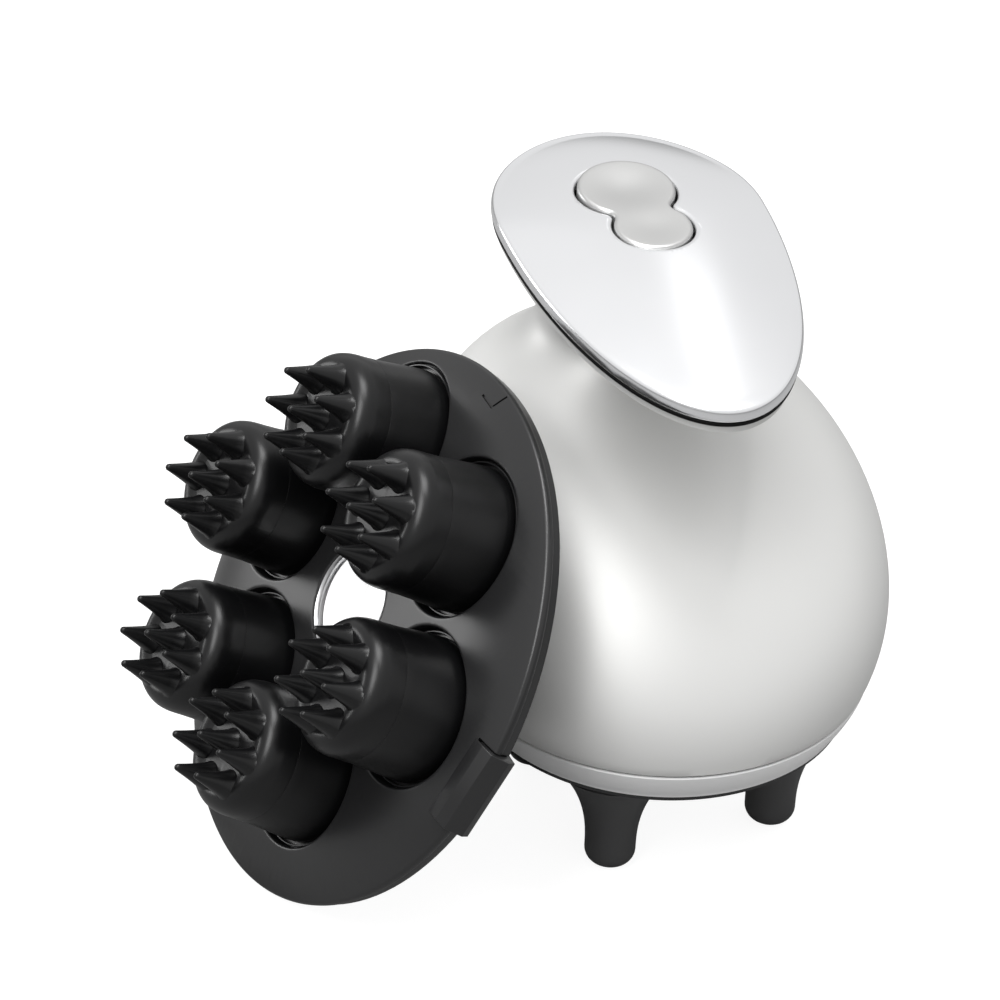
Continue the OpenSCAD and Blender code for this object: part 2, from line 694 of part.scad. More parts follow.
module head_face() {
    color([0.27, 0.27, 0.28]) on_head() difference() {
        union() {
            on_rim() rotate_extrude() polygon(concat(
                [for (r = face_steps) [r, face_height(r)]],
                [[rim_r - 0.15, rim_h], [rim_r, 0], [rim_r - 0.2, split_h], [rim_r - 2.2, split_h]],
                [for (i = [len(face_steps) - 3:-1:0]) [face_steps[i], face_height(face_steps[i]) - face_t]]));
            intersection() {
                around(brushes, brush_ring, brush_turn) translate([0, 0, floor_h - floor_t])
                    cylinder(r = well_r + 1.2, h = 5);
                on_rim() rotate_extrude() polygon(concat(
                    [[0, -3]], [for (r = face_steps) [r, face_height(r) - 0.2]], [[rim_r - 1.4, 0], [rim_r - 2, -3]]));
            }
            around(brushes, screw_ring, brush_turn + 30) translate([0, 0, back_h + back_t])
                cylinder(r = 2.4, h = 7.5);
            ring(liner_r + 2.4, liner_r - 0.4, face_h - 0.4);
        }
        for (k = [0:brushes - 1]) rotate(brush_turn - k * 60) translate([brush_ring, 0, 0]) rotate([0, -brush_tip, 0]) {
            translate([0, 0, floor_h]) cylinder(r = well_r, h = 10);
            translate([0, 0, -5]) cylinder(r = spindle_r + run_fit, h = 8);
        }
        around(brushes, screw_ring, brush_turn + 30) translate([0, 0, back_h]) cylinder(r = 1, h = 7);
        translate([0, 0, -10]) cylinder(r = liner_r + run_fit, h = 20);
        on_rim() rotate(tab_angle) translate([rim_r - tab_seat, -tab_w / 2 - side_gap, -8])
            cube([20, tab_w + 2 * side_gap, 20]);
    }
}

module head_back() {
    pivot = 3.6;
    color([0.24, 0.24, 0.25]) on_head() difference() {
        union() {
            on_rim() rotate_extrude() polygon([
                [0, back_h], [rim_r - 10.5, back_h], [rim_r - 4.5, -5.5], [rim_r - 0.7, -3], [rim_r - 0.3, split_h],
                [rim_r - 2.2, split_h], [rim_r - 2.4, -3], [rim_r - 5.2, -4.2], [rim_r - 11, back_h + back_t],
                [0, back_h + back_t]]);
            for (k = [0:brushes - 1]) rotate(brush_turn - k * 60) translate([brush_ring, 0, back_h + 0.4])
                cylinder(r = pivot, h = 1.5);
        }
        for (k = [0:brushes - 1]) rotate(brush_turn - k * 60) translate([brush_ring, 0, 0]) rotate([0, -brush_tip, 0])
            translate([0, 0, back_h + 1]) cylinder(r = 2 + run_fit, h = 4);
        around(brushes, screw_ring, brush_turn + 30) translate([0, 0, back_h - 1]) cylinder(r = 1.1, h = 4);
        around(brushes, screw_ring, brush_turn + 30) translate([0, 0, back_h - 1]) cylinder(r = 2.2, h = 1.9);
        translate([0, 0, -10]) cylinder(r = liner_r + run_fit, h = 20);
        on_rim() rotate(tab_angle) translate([rim_r - tab_seat, -tab_w / 2 - side_gap, -4.4])
            cube([20, tab_w + 2 * side_gap, 20]);
    }
}

module head_screws() {
    color([0.6, 0.6, 0.62]) on_head() around(brushes, screw_ring, brush_turn + 30)
        translate([0, 0, back_h + 0.9]) screw(1, 5.6, 2, 0.8);
}

module hub_gear() {
    color([0.9, 0.88, 0.8]) on_head() difference() {
        union() {
            translate([0, 0, gear_h]) gear(hub_teeth, gear_mod, gear_t);
            translate([0, 0, gear_h]) cylinder(r = 15, h = -gear_h - side_gap);
        }
        translate([0, 0, -10]) cylinder(r = liner_r, h = 20);
        around(3, liner_r - 1, key_turn) translate([0, -1, -8]) cube([2.2, 2, 5]);
    }
}

module hub_liner() {
    color([0.8, 0.8, 0.81]) on_head() difference() {
        translate([0, 0, back_h + 0.1]) ring(liner_r, hub_bore, face_h - back_h - 0.2);
        around(3, hub_bore - 1, key_turn) translate([0, -1, -8]) cube([2.2, 2, 5]);
    }
}

module release_tab() {
    inner = rim_r - tab_seat + tab_travel + tab_leaf + 0.1;
    color([0.25, 0.25, 0.26]) on_head() on_rim() rotate(tab_angle) translate([0, tab_w / 2, 0]) rotate([90, 0, 0])
        linear_extrude(height = tab_w) polygon([
            [inner, -4.1], [rim_r + 0.6, -4.1], [rim_r + 2.6, -1.6], [rim_r + 2.4, 0], [rim_r - 1, 2.2], [inner, 3]]);
}

module tab_spring() {
    color([0.75, 0.75, 0.77]) on_head() on_rim() rotate(tab_angle) translate([rim_r - tab_seat, -6, -3.9])
        cube([tab_leaf, 12, 3]);
}

module brush_cup(k) {
    color([0.14, 0.14, 0.15]) on_brush(k) difference() {
        rotate_extrude() polygon([
            [spindle_r, floor_h + 0.4], [5.4, floor_h + 0.4], [5.4, seam_z - 2], [seam_r - 2.2, seam_z - 2],
            [brush_r - 1.8, floor_h + 0.4], [brush_r, floor_h + 0.4], [brush_r - 0.1, floor_h + 3],
            [seam_r, seam_z], [2.4, seam_z], [2.4, seam_z - 2.5], [spindle_r, seam_z - 2.5]]);
        translate([0, 0, seam_z - 1]) around(3, 9.5, tine_turns[k - 1]) cylinder(r = 1.5, h = 2);
    }
}

// A tine's outline: a slender cone with a rounded tip
module tine() {
    len = tine_z - pad_z + dish;
    rotate_extrude() polygon(concat(
        [[0, 0], [tine_r, 0]],
        [for (a = [15:15:75]) [tine_tip * cos(a), len - tine_tip + tine_tip * sin(a)]],
        [[0, len]]));
}

module brush_pad(k) {
    color([0.1, 0.1, 0.11]) on_brush(k) rotate(tine_turns[k - 1]) {
        rotate_extrude() polygon([
            [0, seam_z], [seam_r, seam_z], [seam_r - 0.1, pad_z - 2.4], [seam_r - 0.35, pad_z - 1.2],
            [seam_r - 0.9, pad_z - 0.4], [seam_r - 1.7, pad_z], [seam_r - 2.6, pad_z - 0.35],
            [seam_r - 3.6, pad_z - dish + 0.2], [seam_r - 4.4, pad_z - dish], [0, pad_z - dish]]);
        translate([0, 0, pad_z - dish - 0.01]) tine();
        around(7, tine_ring) translate([0, 0, pad_z - dish - 0.01]) tine();
        translate([0, 0, seam_z - 1]) around(3, 9.5) cylinder(r = 1.5, h = 1.2);
    }
}

// A brush's gear and spindle; its first tooth meshes with the hub gear
module brush_gear(k) {
    along = brush_turn - (k - 1) * 60;
    color([0.9, 0.88, 0.8]) on_brush(k) {
        translate([0, 0, gear_h + 0.4]) rotate(mesh_turn(0, along, hub_teeth, brush_teeth) - along)
            gear(brush_teeth, gear_mod, gear_t - 0.8);
        translate([0, 0, gear_h]) cylinder(r = spindle_r, h = seam_z - 3 - gear_h);
        translate([0, 0, back_h + 1.1]) cylinder(r = 2, h = 3);
    }
}

upper_shell();
parting_seal();
lower_band();
charge_contacts();
chassis();
chassis_screws();
lower_bearing();
gearbox_cover();
upper_bush();
cover_screws();
idler_pin();
idler_gear();
motor();
motor_pinion();
battery();
battery_strap();
main_board();
rotor_seal();
drive_shaft();
drive_boss();
output_gear();
leg_disc();
leg_cores();
leg_covers();
handle_under();
neck_screws();
handle_frame();
plate_seal();
handle_plate();
switch_board();
button_pin();
button();
head_face();
head_back();
head_screws();
hub_gear();
hub_liner();
release_tab();
tab_spring();
brush_cup(1);  // brush_cup_1
brush_cup(2);  // brush_cup_2
brush_cup(3);  // brush_cup_3
brush_cup(4);  // brush_cup_4
brush_cup(5);  // brush_cup_5
brush_cup(6);  // brush_cup_6
brush_pad(1);  // brush_pad_1
brush_pad(2);  // brush_pad_2
brush_pad(3);  // brush_pad_3
brush_pad(4);  // brush_pad_4
brush_pad(5);  // brush_pad_5
brush_pad(6);  // brush_pad_6
brush_gear(1);  // brush_gear_1
brush_gear(2);  // brush_gear_2
brush_gear(3);  // brush_gear_3
brush_gear(4);  // brush_gear_4
brush_gear(5);  // brush_gear_5
brush_gear(6);  // brush_gear_6
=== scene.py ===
import bpy
import bmesh
import json
import math
from mathutils import Matrix, Vector


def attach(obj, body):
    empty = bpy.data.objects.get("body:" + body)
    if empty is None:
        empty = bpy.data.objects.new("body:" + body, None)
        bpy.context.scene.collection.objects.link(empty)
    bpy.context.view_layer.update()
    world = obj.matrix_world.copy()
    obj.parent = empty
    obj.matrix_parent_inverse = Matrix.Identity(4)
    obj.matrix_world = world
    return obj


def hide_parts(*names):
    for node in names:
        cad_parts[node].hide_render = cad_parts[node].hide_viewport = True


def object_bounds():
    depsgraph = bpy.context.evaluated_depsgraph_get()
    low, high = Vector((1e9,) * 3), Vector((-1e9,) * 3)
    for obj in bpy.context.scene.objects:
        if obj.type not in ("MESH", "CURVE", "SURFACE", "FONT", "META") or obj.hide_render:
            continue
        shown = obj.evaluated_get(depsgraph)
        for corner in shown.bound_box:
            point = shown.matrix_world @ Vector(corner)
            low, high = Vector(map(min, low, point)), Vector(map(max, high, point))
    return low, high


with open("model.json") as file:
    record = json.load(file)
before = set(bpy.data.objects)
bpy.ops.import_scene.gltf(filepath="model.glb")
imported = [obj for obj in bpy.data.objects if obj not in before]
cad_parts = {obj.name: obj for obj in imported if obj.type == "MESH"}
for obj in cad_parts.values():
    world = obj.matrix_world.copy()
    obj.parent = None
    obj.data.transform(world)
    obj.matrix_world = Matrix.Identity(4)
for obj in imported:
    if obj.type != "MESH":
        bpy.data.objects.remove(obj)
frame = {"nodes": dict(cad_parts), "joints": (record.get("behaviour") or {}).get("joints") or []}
nodes = frame["nodes"]
joints = {j["name"]: j for j in frame["joints"]}
cadLow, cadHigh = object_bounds()
mm = 0.001
print("frame loaded:", len(nodes), "nodes")


# small tools for meshes

def sketch(points):
    # a bmesh that holds one open line of points, (distance from the axis, height)
    bm = bmesh.new()
    verts = [bm.verts.new((p[0], 0, p[1])) for p in points]
    for a, b in zip(verts, verts[1:]):
        bm.edges.new((a, b))
    return bm


def spinAround(bm, steps):
    bmesh.ops.spin(bm, geom=bm.verts[:] + bm.edges[:], axis=(0, 0, 1), cent=(0, 0, 0),
                   angle=math.tau, steps=steps, use_merge=True)
    bmesh.ops.remove_doubles(bm, verts=bm.verts, dist=1e-4)
    return bm


def arc(cx, cz, radius, start, end, count):
    # points along part of a circle, angles in degrees
    turns = [math.radians(start + (end - start) * i / count) for i in range(count + 1)]
    return [(cx + radius * math.cos(t), cz + radius * math.sin(t)) for t in turns]


def smoothStep(x):
    x = min(1.0, max(0.0, x))
    return x * x * (3 - 2 * x)


def meshFrom(bm, name):
    mesh = bpy.data.meshes.new(name)
    bm.to_mesh(mesh)
    bm.free()
    return mesh


def newObject(name, data):
    made = bpy.data.objects.new(name, data)
    bpy.context.scene.collection.objects.link(made)
    return made


def addTo(target, bm):
    # puts one bmesh into another
    part = meshFrom(bm, "part")
    target.from_mesh(part)
    bpy.data.meshes.remove(part)


def ringStack(count, first, steps, closed=True):
    # flat rings around the axis, ring i with the radius first + i, for a piece to put in place
    return spinAround(sketch([(first + i, 0) for i in range(count)] + [(first, 0)] * closed), steps)


def ringOf(vert, first):
    # a vertex's angle around the axis, and the number of its ring in such a stack
    return math.atan2(vert.co.y, vert.co.x), round(math.hypot(vert.co.x, vert.co.y)) - first


def finishPiece(bm, name, body, material, replaced=(), place=None, sharp=32):
    # normals outwards, millimetres to metres, place in the mesh, then onto its body
    if place is not None:
        bmesh.ops.transform(bm, matrix=place, verts=bm.verts)
    bmesh.ops.scale(bm, vec=(mm, mm, mm), verts=bm.verts)
    bmesh.ops.recalc_face_normals(bm, faces=bm.faces)
    mesh = meshFrom(bm, name)
    mesh.shade_smooth()
    mesh.set_sharp_from_angle(angle=math.radians(sharp))
    piece = newObject(name, mesh)
    mesh.materials.append(material)
    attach(piece, body)
    if replaced:
        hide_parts(*replaced)
    return piece


def cutWith(piece, cutter, work="DIFFERENCE"):
    # takes the cutter's shape out of the piece, or joins it on, for good
    cut = piece.modifiers.new("cut", "BOOLEAN")
    cut.operation = work
    cut.solver = "EXACT"
    cut.object = cutter
    graph = bpy.context.evaluated_depsgraph_get()
    result = bpy.data.meshes.new_from_object(piece.evaluated_get(graph))
    piece.modifiers.clear()
    old = piece.data
    result.name = old.name
    piece.data = result
    bpy.data.meshes.remove(old)
    bpy.data.objects.remove(cutter)


# shader groups

def newGroup(name, inputs, outputs):
    group = bpy.data.node_groups.new(name, "ShaderNodeTree")
    for label, kind, value in inputs:
        socket = group.interface.new_socket(name=label, in_out="INPUT", socket_type=kind)
        socket.default_value = value
    for label, kind in outputs:
        group.interface.new_socket(name=label, in_out="OUTPUT", socket_type=kind)
    return group, group.nodes.new("NodeGroupInput"), group.nodes.new("NodeGroupOutput")


def makeGrain():
    # fine moulded grain: a colour that varies a little, a roughness value and a normal
    group, given, made = newGroup("mouldedGrain", [
        ("Color", "NodeSocketColor", (0.5, 0.5, 0.5, 1)), ("Variation", "NodeSocketFloat", 0.05),
        ("Roughness", "NodeSocketFloat", 0.4), ("Roughness Spread", "NodeSocketFloat", 0.05),
        ("Grain Size", "NodeSocketFloat", 2500.0), ("Depth", "NodeSocketFloat", 0.05)],
        [("Color", "NodeSocketColor"), ("Roughness", "NodeSocketFloat"), ("Normal", "NodeSocketVector")])
    link = group.links.new
    place = group.nodes.new("ShaderNodeTexCoord")
    cloud = group.nodes.new("ShaderNodeTexNoise")
    cloud.inputs["Scale"].default_value = 55
    cloud.inputs["Detail"].default_value = 3
    link(place.outputs["Object"], cloud.inputs["Vector"])
    fine = group.nodes.new("ShaderNodeTexNoise")
    fine.inputs["Detail"].default_value = 2
    link(place.outputs["Object"], fine.inputs["Vector"])
    link(given.outputs["Grain Size"], fine.inputs["Scale"])
    shift = group.nodes.new("ShaderNodeMath")
    shift.operation = "SUBTRACT"
    shift.inputs[1].default_value = 0.5
    link(cloud.outputs["Fac"], shift.inputs[0])
    amount = group.nodes.new("ShaderNodeMath")
    amount.operation = "MULTIPLY_ADD"
    amount.inputs[2].default_value = 1.0
    link(shift.outputs[0], amount.inputs[0])
    link(given.outputs["Variation"], amount.inputs[1])
    tint = group.nodes.new("ShaderNodeVectorMath")
    tint.operation = "SCALE"
    link(given.outputs["Color"], tint.inputs[0])
    link(amount.outputs[0], tint.inputs["Scale"])
    link(tint.outputs[0], made.inputs["Color"])
    rough = group.nodes.new("ShaderNodeMath")
    rough.operation = "MULTIPLY_ADD"
    link(shift.outputs[0], rough.inputs[0])
    link(given.outputs["Roughness Spread"], rough.inputs[1])
    link(given.outputs["Roughness"], rough.inputs[2])
    link(rough.outputs[0], made.inputs["Roughness"])
    bump = group.nodes.new("ShaderNodeBump")
    bump.inputs["Distance"].default_value = 0.00003
    link(fine.outputs["Fac"], bump.inputs["Height"])
    link(given.outputs["Depth"], bump.inputs["Strength"])
    link(bump.outputs["Normal"], made.inputs["Normal"])
    return group


def makeTurned():
    # fine rings left by turning, around the vertical axis: a roughness and a normal
    group, given, made = newGroup("turnedRings", [
        ("Roughness", "NodeSocketFloat", 0.3), ("Spacing", "NodeSocketFloat", 900.0),
        ("Depth", "NodeSocketFloat", 0.2)],
        [("Roughness", "NodeSocketFloat"), ("Normal", "NodeSocketVector")])
    link = group.links.new
    place = group.nodes.new("ShaderNodeTexCoord")
    rings = group.nodes.new("ShaderNodeTexWave")
    rings.wave_type = "RINGS"
    rings.rings_direction = "Z"
    rings.inputs["Distortion"].default_value = 0.6
    link(place.outputs["Object"], rings.inputs["Vector"])
    link(given.outputs["Spacing"], rings.inputs["Scale"])
    rough = group.nodes.new("ShaderNodeMath")
    rough.operation = "MULTIPLY_ADD"
    rough.inputs[1].default_value = 0.08
    link(rings.outputs["Fac"], rough.inputs[0])
    link(given.outputs["Roughness"], rough.inputs[2])
    link(rough.outputs[0], made.inputs["Roughness"])
    bump = group.nodes.new("ShaderNodeBump")
    bump.inputs["Distance"].default_value = 0.00002
    link(rings.outputs["Fac"], bump.inputs["Height"])
    link(given.outputs["Depth"], bump.inputs["Strength"])
    link(bump.outputs["Normal"], made.inputs["Normal"])
    return group


grainGroup = makeGrain()
turnedGroup = makeTurned()


def plasticLike(name, color, roughness, metallic=0.0, variation=0.06, spread=0.08, grain=2500,
                depth=0.08, coat=0.0, coatRoughness=0.1, specular=0.5, glow=0.0):
    material = bpy.data.materials.new(name)
    material.use_nodes = True
    tree = material.node_tree
    shader = tree.nodes["Principled BSDF"]
    shader.inputs["Metallic"].default_value = metallic
    shader.inputs["Coat Weight"].default_value = coat
    shader.inputs["Coat Roughness"].default_value = coatRoughness
    shader.inputs["Specular IOR Level"].default_value = specular
    shader.inputs["Emission Color"].default_value = (1, 1, 1, 1)
    shader.inputs["Emission Strength"].default_value = glow
    skin = tree.nodes.new("ShaderNodeGroup")
    skin.node_tree = grainGroup
    for label, value in (("Color", (*color, 1)), ("Variation", variation), ("Roughness", roughness),
                         ("Roughness Spread", spread), ("Grain Size", grain), ("Depth", depth)):
        skin.inputs[label].default_value = value
    tree.links.new(skin.outputs["Color"], shader.inputs["Base Color"])
    tree.links.new(skin.outputs["Roughness"], shader.inputs["Roughness"])
    tree.links.new(skin.outputs["Normal"], shader.inputs["Normal"])
    return material


def turnedMetal(name, color, roughness, spacing=900, depth=0.15, patches=90, darkest=0.92):
    material = bpy.data.materials.new(name)
    material.use_nodes = True
    tree = material.node_tree
    shader = tree.nodes["Principled BSDF"]
    shader.inputs["Metallic"].default_value = 1.0
    skin = tree.nodes.new("ShaderNodeGroup")
    skin.node_tree = turnedGroup
    for label, value in (("Roughness", roughness), ("Spacing", spacing), ("Depth", depth)):
        skin.inputs[label].default_value = value
    cloud = tree.nodes.new("ShaderNodeTexNoise")
    cloud.inputs["Scale"].default_value = patches
    place = tree.nodes.new("ShaderNodeTexCoord")
    tree.links.new(place.outputs["Object"], cloud.inputs["Vector"])
    ramp = tree.nodes.new("ShaderNodeValToRGB")
    ramp.color_ramp.elements[0].color = (*[c * darkest for c in color], 1)
    ramp.color_ramp.elements[1].color = (*color, 1)
    tree.links.new(cloud.outputs["Fac"], ramp.inputs["Fac"])
    tree.links.new(ramp.outputs["Color"], shader.inputs["Base Color"])
    tree.links.new(skin.outputs["Roughness"], shader.inputs["Roughness"])
    tree.links.new(skin.outputs["Normal"], shader.inputs["Normal"])
    return material


finishes = dict(
    pearl=plasticLike("pearlShell", (0.66, 0.66, 0.65), 0.46, metallic=0.35, variation=0.02,
                      spread=0.04, grain=5200, depth=0.05),
    band=plasticLike("greyBand", (0.84, 0.84, 0.84), 0.42, metallic=0.25, variation=0.03,
                     grain=4200, depth=0.05),
    chrome=plasticLike("chromePlate", (0.92, 0.925, 0.94), 0.2, metallic=1.0, variation=0.02,
                       spread=0.03, grain=5200, depth=0.006),
    button=plasticLike("satinButton", (0.56, 0.56, 0.555), 0.34, metallic=0.9, variation=0.02,
                       spread=0.04, grain=5200, depth=0.03),
    disc=plasticLike("darkPlastic", (0.011, 0.011, 0.0115), 0.3, variation=0.1, grain=3200),
    cup=plasticLike("blackSatin", (0.003, 0.003, 0.0033), 0.34, variation=0.15, spread=0.1,
                    grain=4200, depth=0.04, specular=0.35),
    pad=plasticLike("softPad", (0.003, 0.003, 0.0033), 0.31, variation=0.15, grain=3600,
                    depth=0.05, specular=0.35),
    leg=plasticLike("softLeg", (0.062, 0.062, 0.063), 0.42, variation=0.12, spread=0.1,
                    grain=3600, depth=0.07, specular=0.35),
    line=plasticLike("darkLine", (0.002, 0.002, 0.002), 0.6, variation=0.1, grain=3000,
                     depth=0.05, specular=0.15),
    inner=plasticLike("innerPlastic", (0.1, 0.105, 0.115), 0.5, variation=0.1, grain=2600,
                      depth=0.15),
    gear=plasticLike("gearPlastic", (0.75, 0.72, 0.6), 0.42, variation=0.05, grain=2600),
    wrap=plasticLike("cellWrap", (0.07, 0.16, 0.42), 0.28, variation=0.08, grain=600, depth=0.1,
                     coat=0.3),
    board=plasticLike("solderResist", (0.015, 0.13, 0.04), 0.35, variation=0.2, grain=1500,
                      depth=0.1, coat=0.3),
    steel=turnedMetal("turnedSteel", (0.62, 0.62, 0.64), 0.26),
    silver=plasticLike("satinSilver", (0.6, 0.6, 0.61), 0.3, metallic=1.0, variation=0.04,
                       grain=4200, depth=0.05),
    # the sleeve glows though it is no lamp: painted light that makes the bore look bright white
    glowingSleeve=plasticLike("glowingWhiteSleeve", (0.93, 0.93, 0.93), 0.3, variation=0.01, grain=4200,
                       depth=0.03, glow=0.5),
    bronze=turnedMetal("sinteredBronze", (0.6, 0.42, 0.16), 0.38),
)
print("finishes made:", len(finishes))


# camera, lights, floor

def makeCamera():
    view = dict(place=(-0.24716, -0.66183, 0.51519), right=(0.95933, -0.27976, 0.0377),
                up=(0.12535, 0.54184, 0.83108), back=(-0.25293, -0.79255, 0.55488),
                lens=151.2, sensor=36, near=0.05, far=20)
    cam = bpy.data.cameras.new("studioCamera")
    cam.lens = view["lens"]
    cam.sensor_width = view["sensor"]
    cam.clip_start = view["near"]
    cam.clip_end = view["far"]
    holder = newObject("studioCamera", cam)
    axes = Matrix((view["right"], view["up"], view["back"])).transposed().to_4x4()
    holder.matrix_world = Matrix.Translation(view["place"]) @ axes
    bpy.context.scene.camera = holder


def makeFloor():
    floor = dict(size=3.0, cells=12, sink=0.00002, color=(0.28, 0.28, 0.28), roughness=0.9, glow=0.9)
    bm = bmesh.new()
    bmesh.ops.create_grid(bm, x_segments=floor["cells"], y_segments=floor["cells"], size=floor["size"])
    bmesh.ops.translate(bm, vec=(0, 0, cadLow.z - floor["sink"]), verts=bm.verts)
    mesh = meshFrom(bm, "studioFloor")
    ground = newObject("studioFloor", mesh)
    pale = plasticLike("paleFloor", floor["color"], floor["roughness"], variation=0.01, spread=0.0,
                       grain=40, depth=0.0, specular=0.0)
    # only the camera sees its glow, which throws no light on the massager
    tree = pale.node_tree
    path = tree.nodes.new("ShaderNodeLightPath")
    glow = tree.nodes.new("ShaderNodeMath")
    glow.operation = "MULTIPLY"
    glow.inputs[1].default_value = floor["glow"]
    tree.links.new(path.outputs["Is Camera Ray"], glow.inputs[0])
    tree.links.new(glow.outputs[0], tree.nodes["Principled BSDF"].inputs["Emission Strength"])
    mesh.materials.append(pale)


def addSoftbox(name, place, target, size, power):
    light = bpy.data.lights.new(name, "AREA")
    light.shape = "RECTANGLE"
    light.size, light.size_y = size
    light.energy = power
    holder = newObject(name, light)
    holder.location = place
    aim = Vector(target) - Vector(place)
    holder.rotation_euler = aim.to_track_quat("-Z", "Y").to_euler()


softboxes = dict(
    topBox=dict(place=(0.05, 0.12, 1.36), target=(0, 0, 0.06), size=(0.6, 0.6), power=10),
    leftBox=dict(place=(-0.62, -0.42, 1.12), target=(0, 0, 0.06), size=(0.5, 0.8), power=10),
    backBox=dict(place=(-1.02, 0.92, 0.13), target=(0, 0, 0.04), size=(0.45, 0.4), power=2.6),
    streakBox=dict(place=(0.465, 0.93, 1.14), target=(0, 0, 0.09), size=(0.18, 0.5), power=0.12))


def makeLight():
    # a pale studio room that is darker towards its horizon, and the softboxes
    room = dict(strength=1.0, heights=(0.0, 0.07, 0.2, 0.5, 0.77, 1.0),
                greys=(0.2, 0.42, 0.78, 0.79, 0.9, 1.0))
    world = bpy.data.worlds.new("studioRoom")
    bpy.context.scene.world = world
    world.use_nodes = True
    tree = world.node_tree
    back = tree.nodes["Background"]
    back.inputs["Strength"].default_value = room["strength"]
    place = tree.nodes.new("ShaderNodeTexCoord")
    split = tree.nodes.new("ShaderNodeSeparateXYZ")
    tree.links.new(place.outputs["Generated"], split.inputs[0])
    ramp = tree.nodes.new("ShaderNodeValToRGB")
    ramp.color_ramp.interpolation = "EASE"
    stops = ramp.color_ramp.elements
    while len(stops) < len(room["heights"]):
        stops.new(0.5)
    for stop, height, grey in zip(stops, room["heights"], room["greys"]):
        stop.position, stop.color = height, (grey, grey, grey, 1)
    tree.links.new(split.outputs["Z"], ramp.inputs["Fac"])
    tree.links.new(ramp.outputs["Color"], back.inputs["Color"])
    for name, box in softboxes.items():
        addSoftbox(name, **box)


bpy.context.scene.view_settings.view_transform = "Standard"
makeCamera()
makeFloor()
makeLight()
print("studio ready")


# drive unit: dome, flare, band

dome = dict(partingRadius=43.3, partingHeight=9.1, radius=50, halfHeight=36.3, lean=0.654, bend=0.19,
            wall=2.2, neckRadius=17, neckHeight=70, neckBack=38, seam=0.15, edgeRound=0.35,
            endShare=0.8, endWidth=0.6, steps=52, turns=160)
partingShare = dome["partingRadius"] / dome["radius"]
domeMid = dome["partingHeight"] + dome["halfHeight"] * math.sqrt(1 - partingShare ** 2)
domeEnd = domeMid + dome["endShare"] * dome["halfHeight"]  # above it the neck begins


def cubic(a, b, slopeA, slopeB, s):
    return (a * (2 * s ** 3 - 3 * s * s + 1) + slopeA * (s ** 3 - 2 * s * s + s)
            + b * (3 * s * s - 2 * s ** 3) + slopeB * (s ** 3 - s * s))


def domeRadius(z):
    # a half oval up to domeEnd, where it is endWidth of its full radius, and then the neck's curve
    if z <= domeEnd:
        return dome["radius"] * math.sqrt(1 - ((z - domeMid) / dome["halfHeight"]) ** 2)
    rise = dome["neckHeight"] - domeEnd
    slope = -dome["radius"] / dome["halfHeight"] * dome["endShare"] / dome["endWidth"] * rise
    return cubic(dome["endWidth"] * dome["radius"], dome["neckRadius"], slope, 0, (z - domeEnd) / rise)


def domeShift(z):
    # how far the dome's middle stands behind the drive axis at a height
    up = z - dome["partingHeight"]
    if z <= domeEnd:
        return dome["lean"] * up + dome["bend"] * up * up / 100
    rise, top = dome["neckHeight"] - domeEnd, domeEnd - dome["partingHeight"]
    return cubic(dome["lean"] * top + dome["bend"] * top * top / 100, dome["neckBack"],
                 (dome["lean"] + dome["bend"] * top / 50) * rise * 0.5, 0, (z - domeEnd) / rise)


def makeDome():
    low = dome["partingHeight"] + dome["seam"]
    turn, wall, foot = dome["edgeRound"], dome["wall"], domeRadius(low)
    rise = dome["neckHeight"] - low - turn
    steps = dome["steps"]
    levels = [low + turn + rise * math.sin(math.pi / 2 * i / steps) for i in range(steps + 1)]
    outside = [(domeRadius(z), z) for z in levels]
    inside = [(domeRadius(z) - wall, z) for z in reversed(levels)]
    edge = [(foot - turn * 0.8, low), (foot - turn * 0.25, low + turn * 0.25)]
    bm = sketch([(foot - wall, low)] + edge + outside + inside + [(foot - wall, low)])
    spinAround(bm, dome["turns"])
    for v in bm.verts:
        v.co.y += domeShift(v.co.z)
    return finishPiece(bm, "domeShell", "unit", finishes["pearl"], ["upper_shell"])


plate = dict(rimHeight=89, tilt=4.1, widest=34, backReach=33.4, frontReach=68.9, halfWidth=28,
             crown=6.2, creaseInset=1.8, creaseHeight=3.25, backDrop=2.3, turns=256, halvings=26)
plateMiddle = plate["widest"] - (plate["frontReach"] - plate["backReach"]) / 2
platePlace = (Matrix.Translation((0, 0, plate["rimHeight"]))
              @ Matrix.Rotation(math.radians(plate["tilt"]), 4, "X"))


def egg(a, inset):
    # a point on the plate's outline, drawn in by inset
    reach = plate["backReach"] if math.sin(a) > 0 else plate["frontReach"]
    nx, ny = reach * math.cos(a), plate["halfWidth"] * math.sin(a)
    size = math.hypot(nx, ny)
    return Vector((plate["halfWidth"] * math.cos(a) - inset * nx / size,
                   plate["widest"] + reach * math.sin(a) - inset * ny / size))


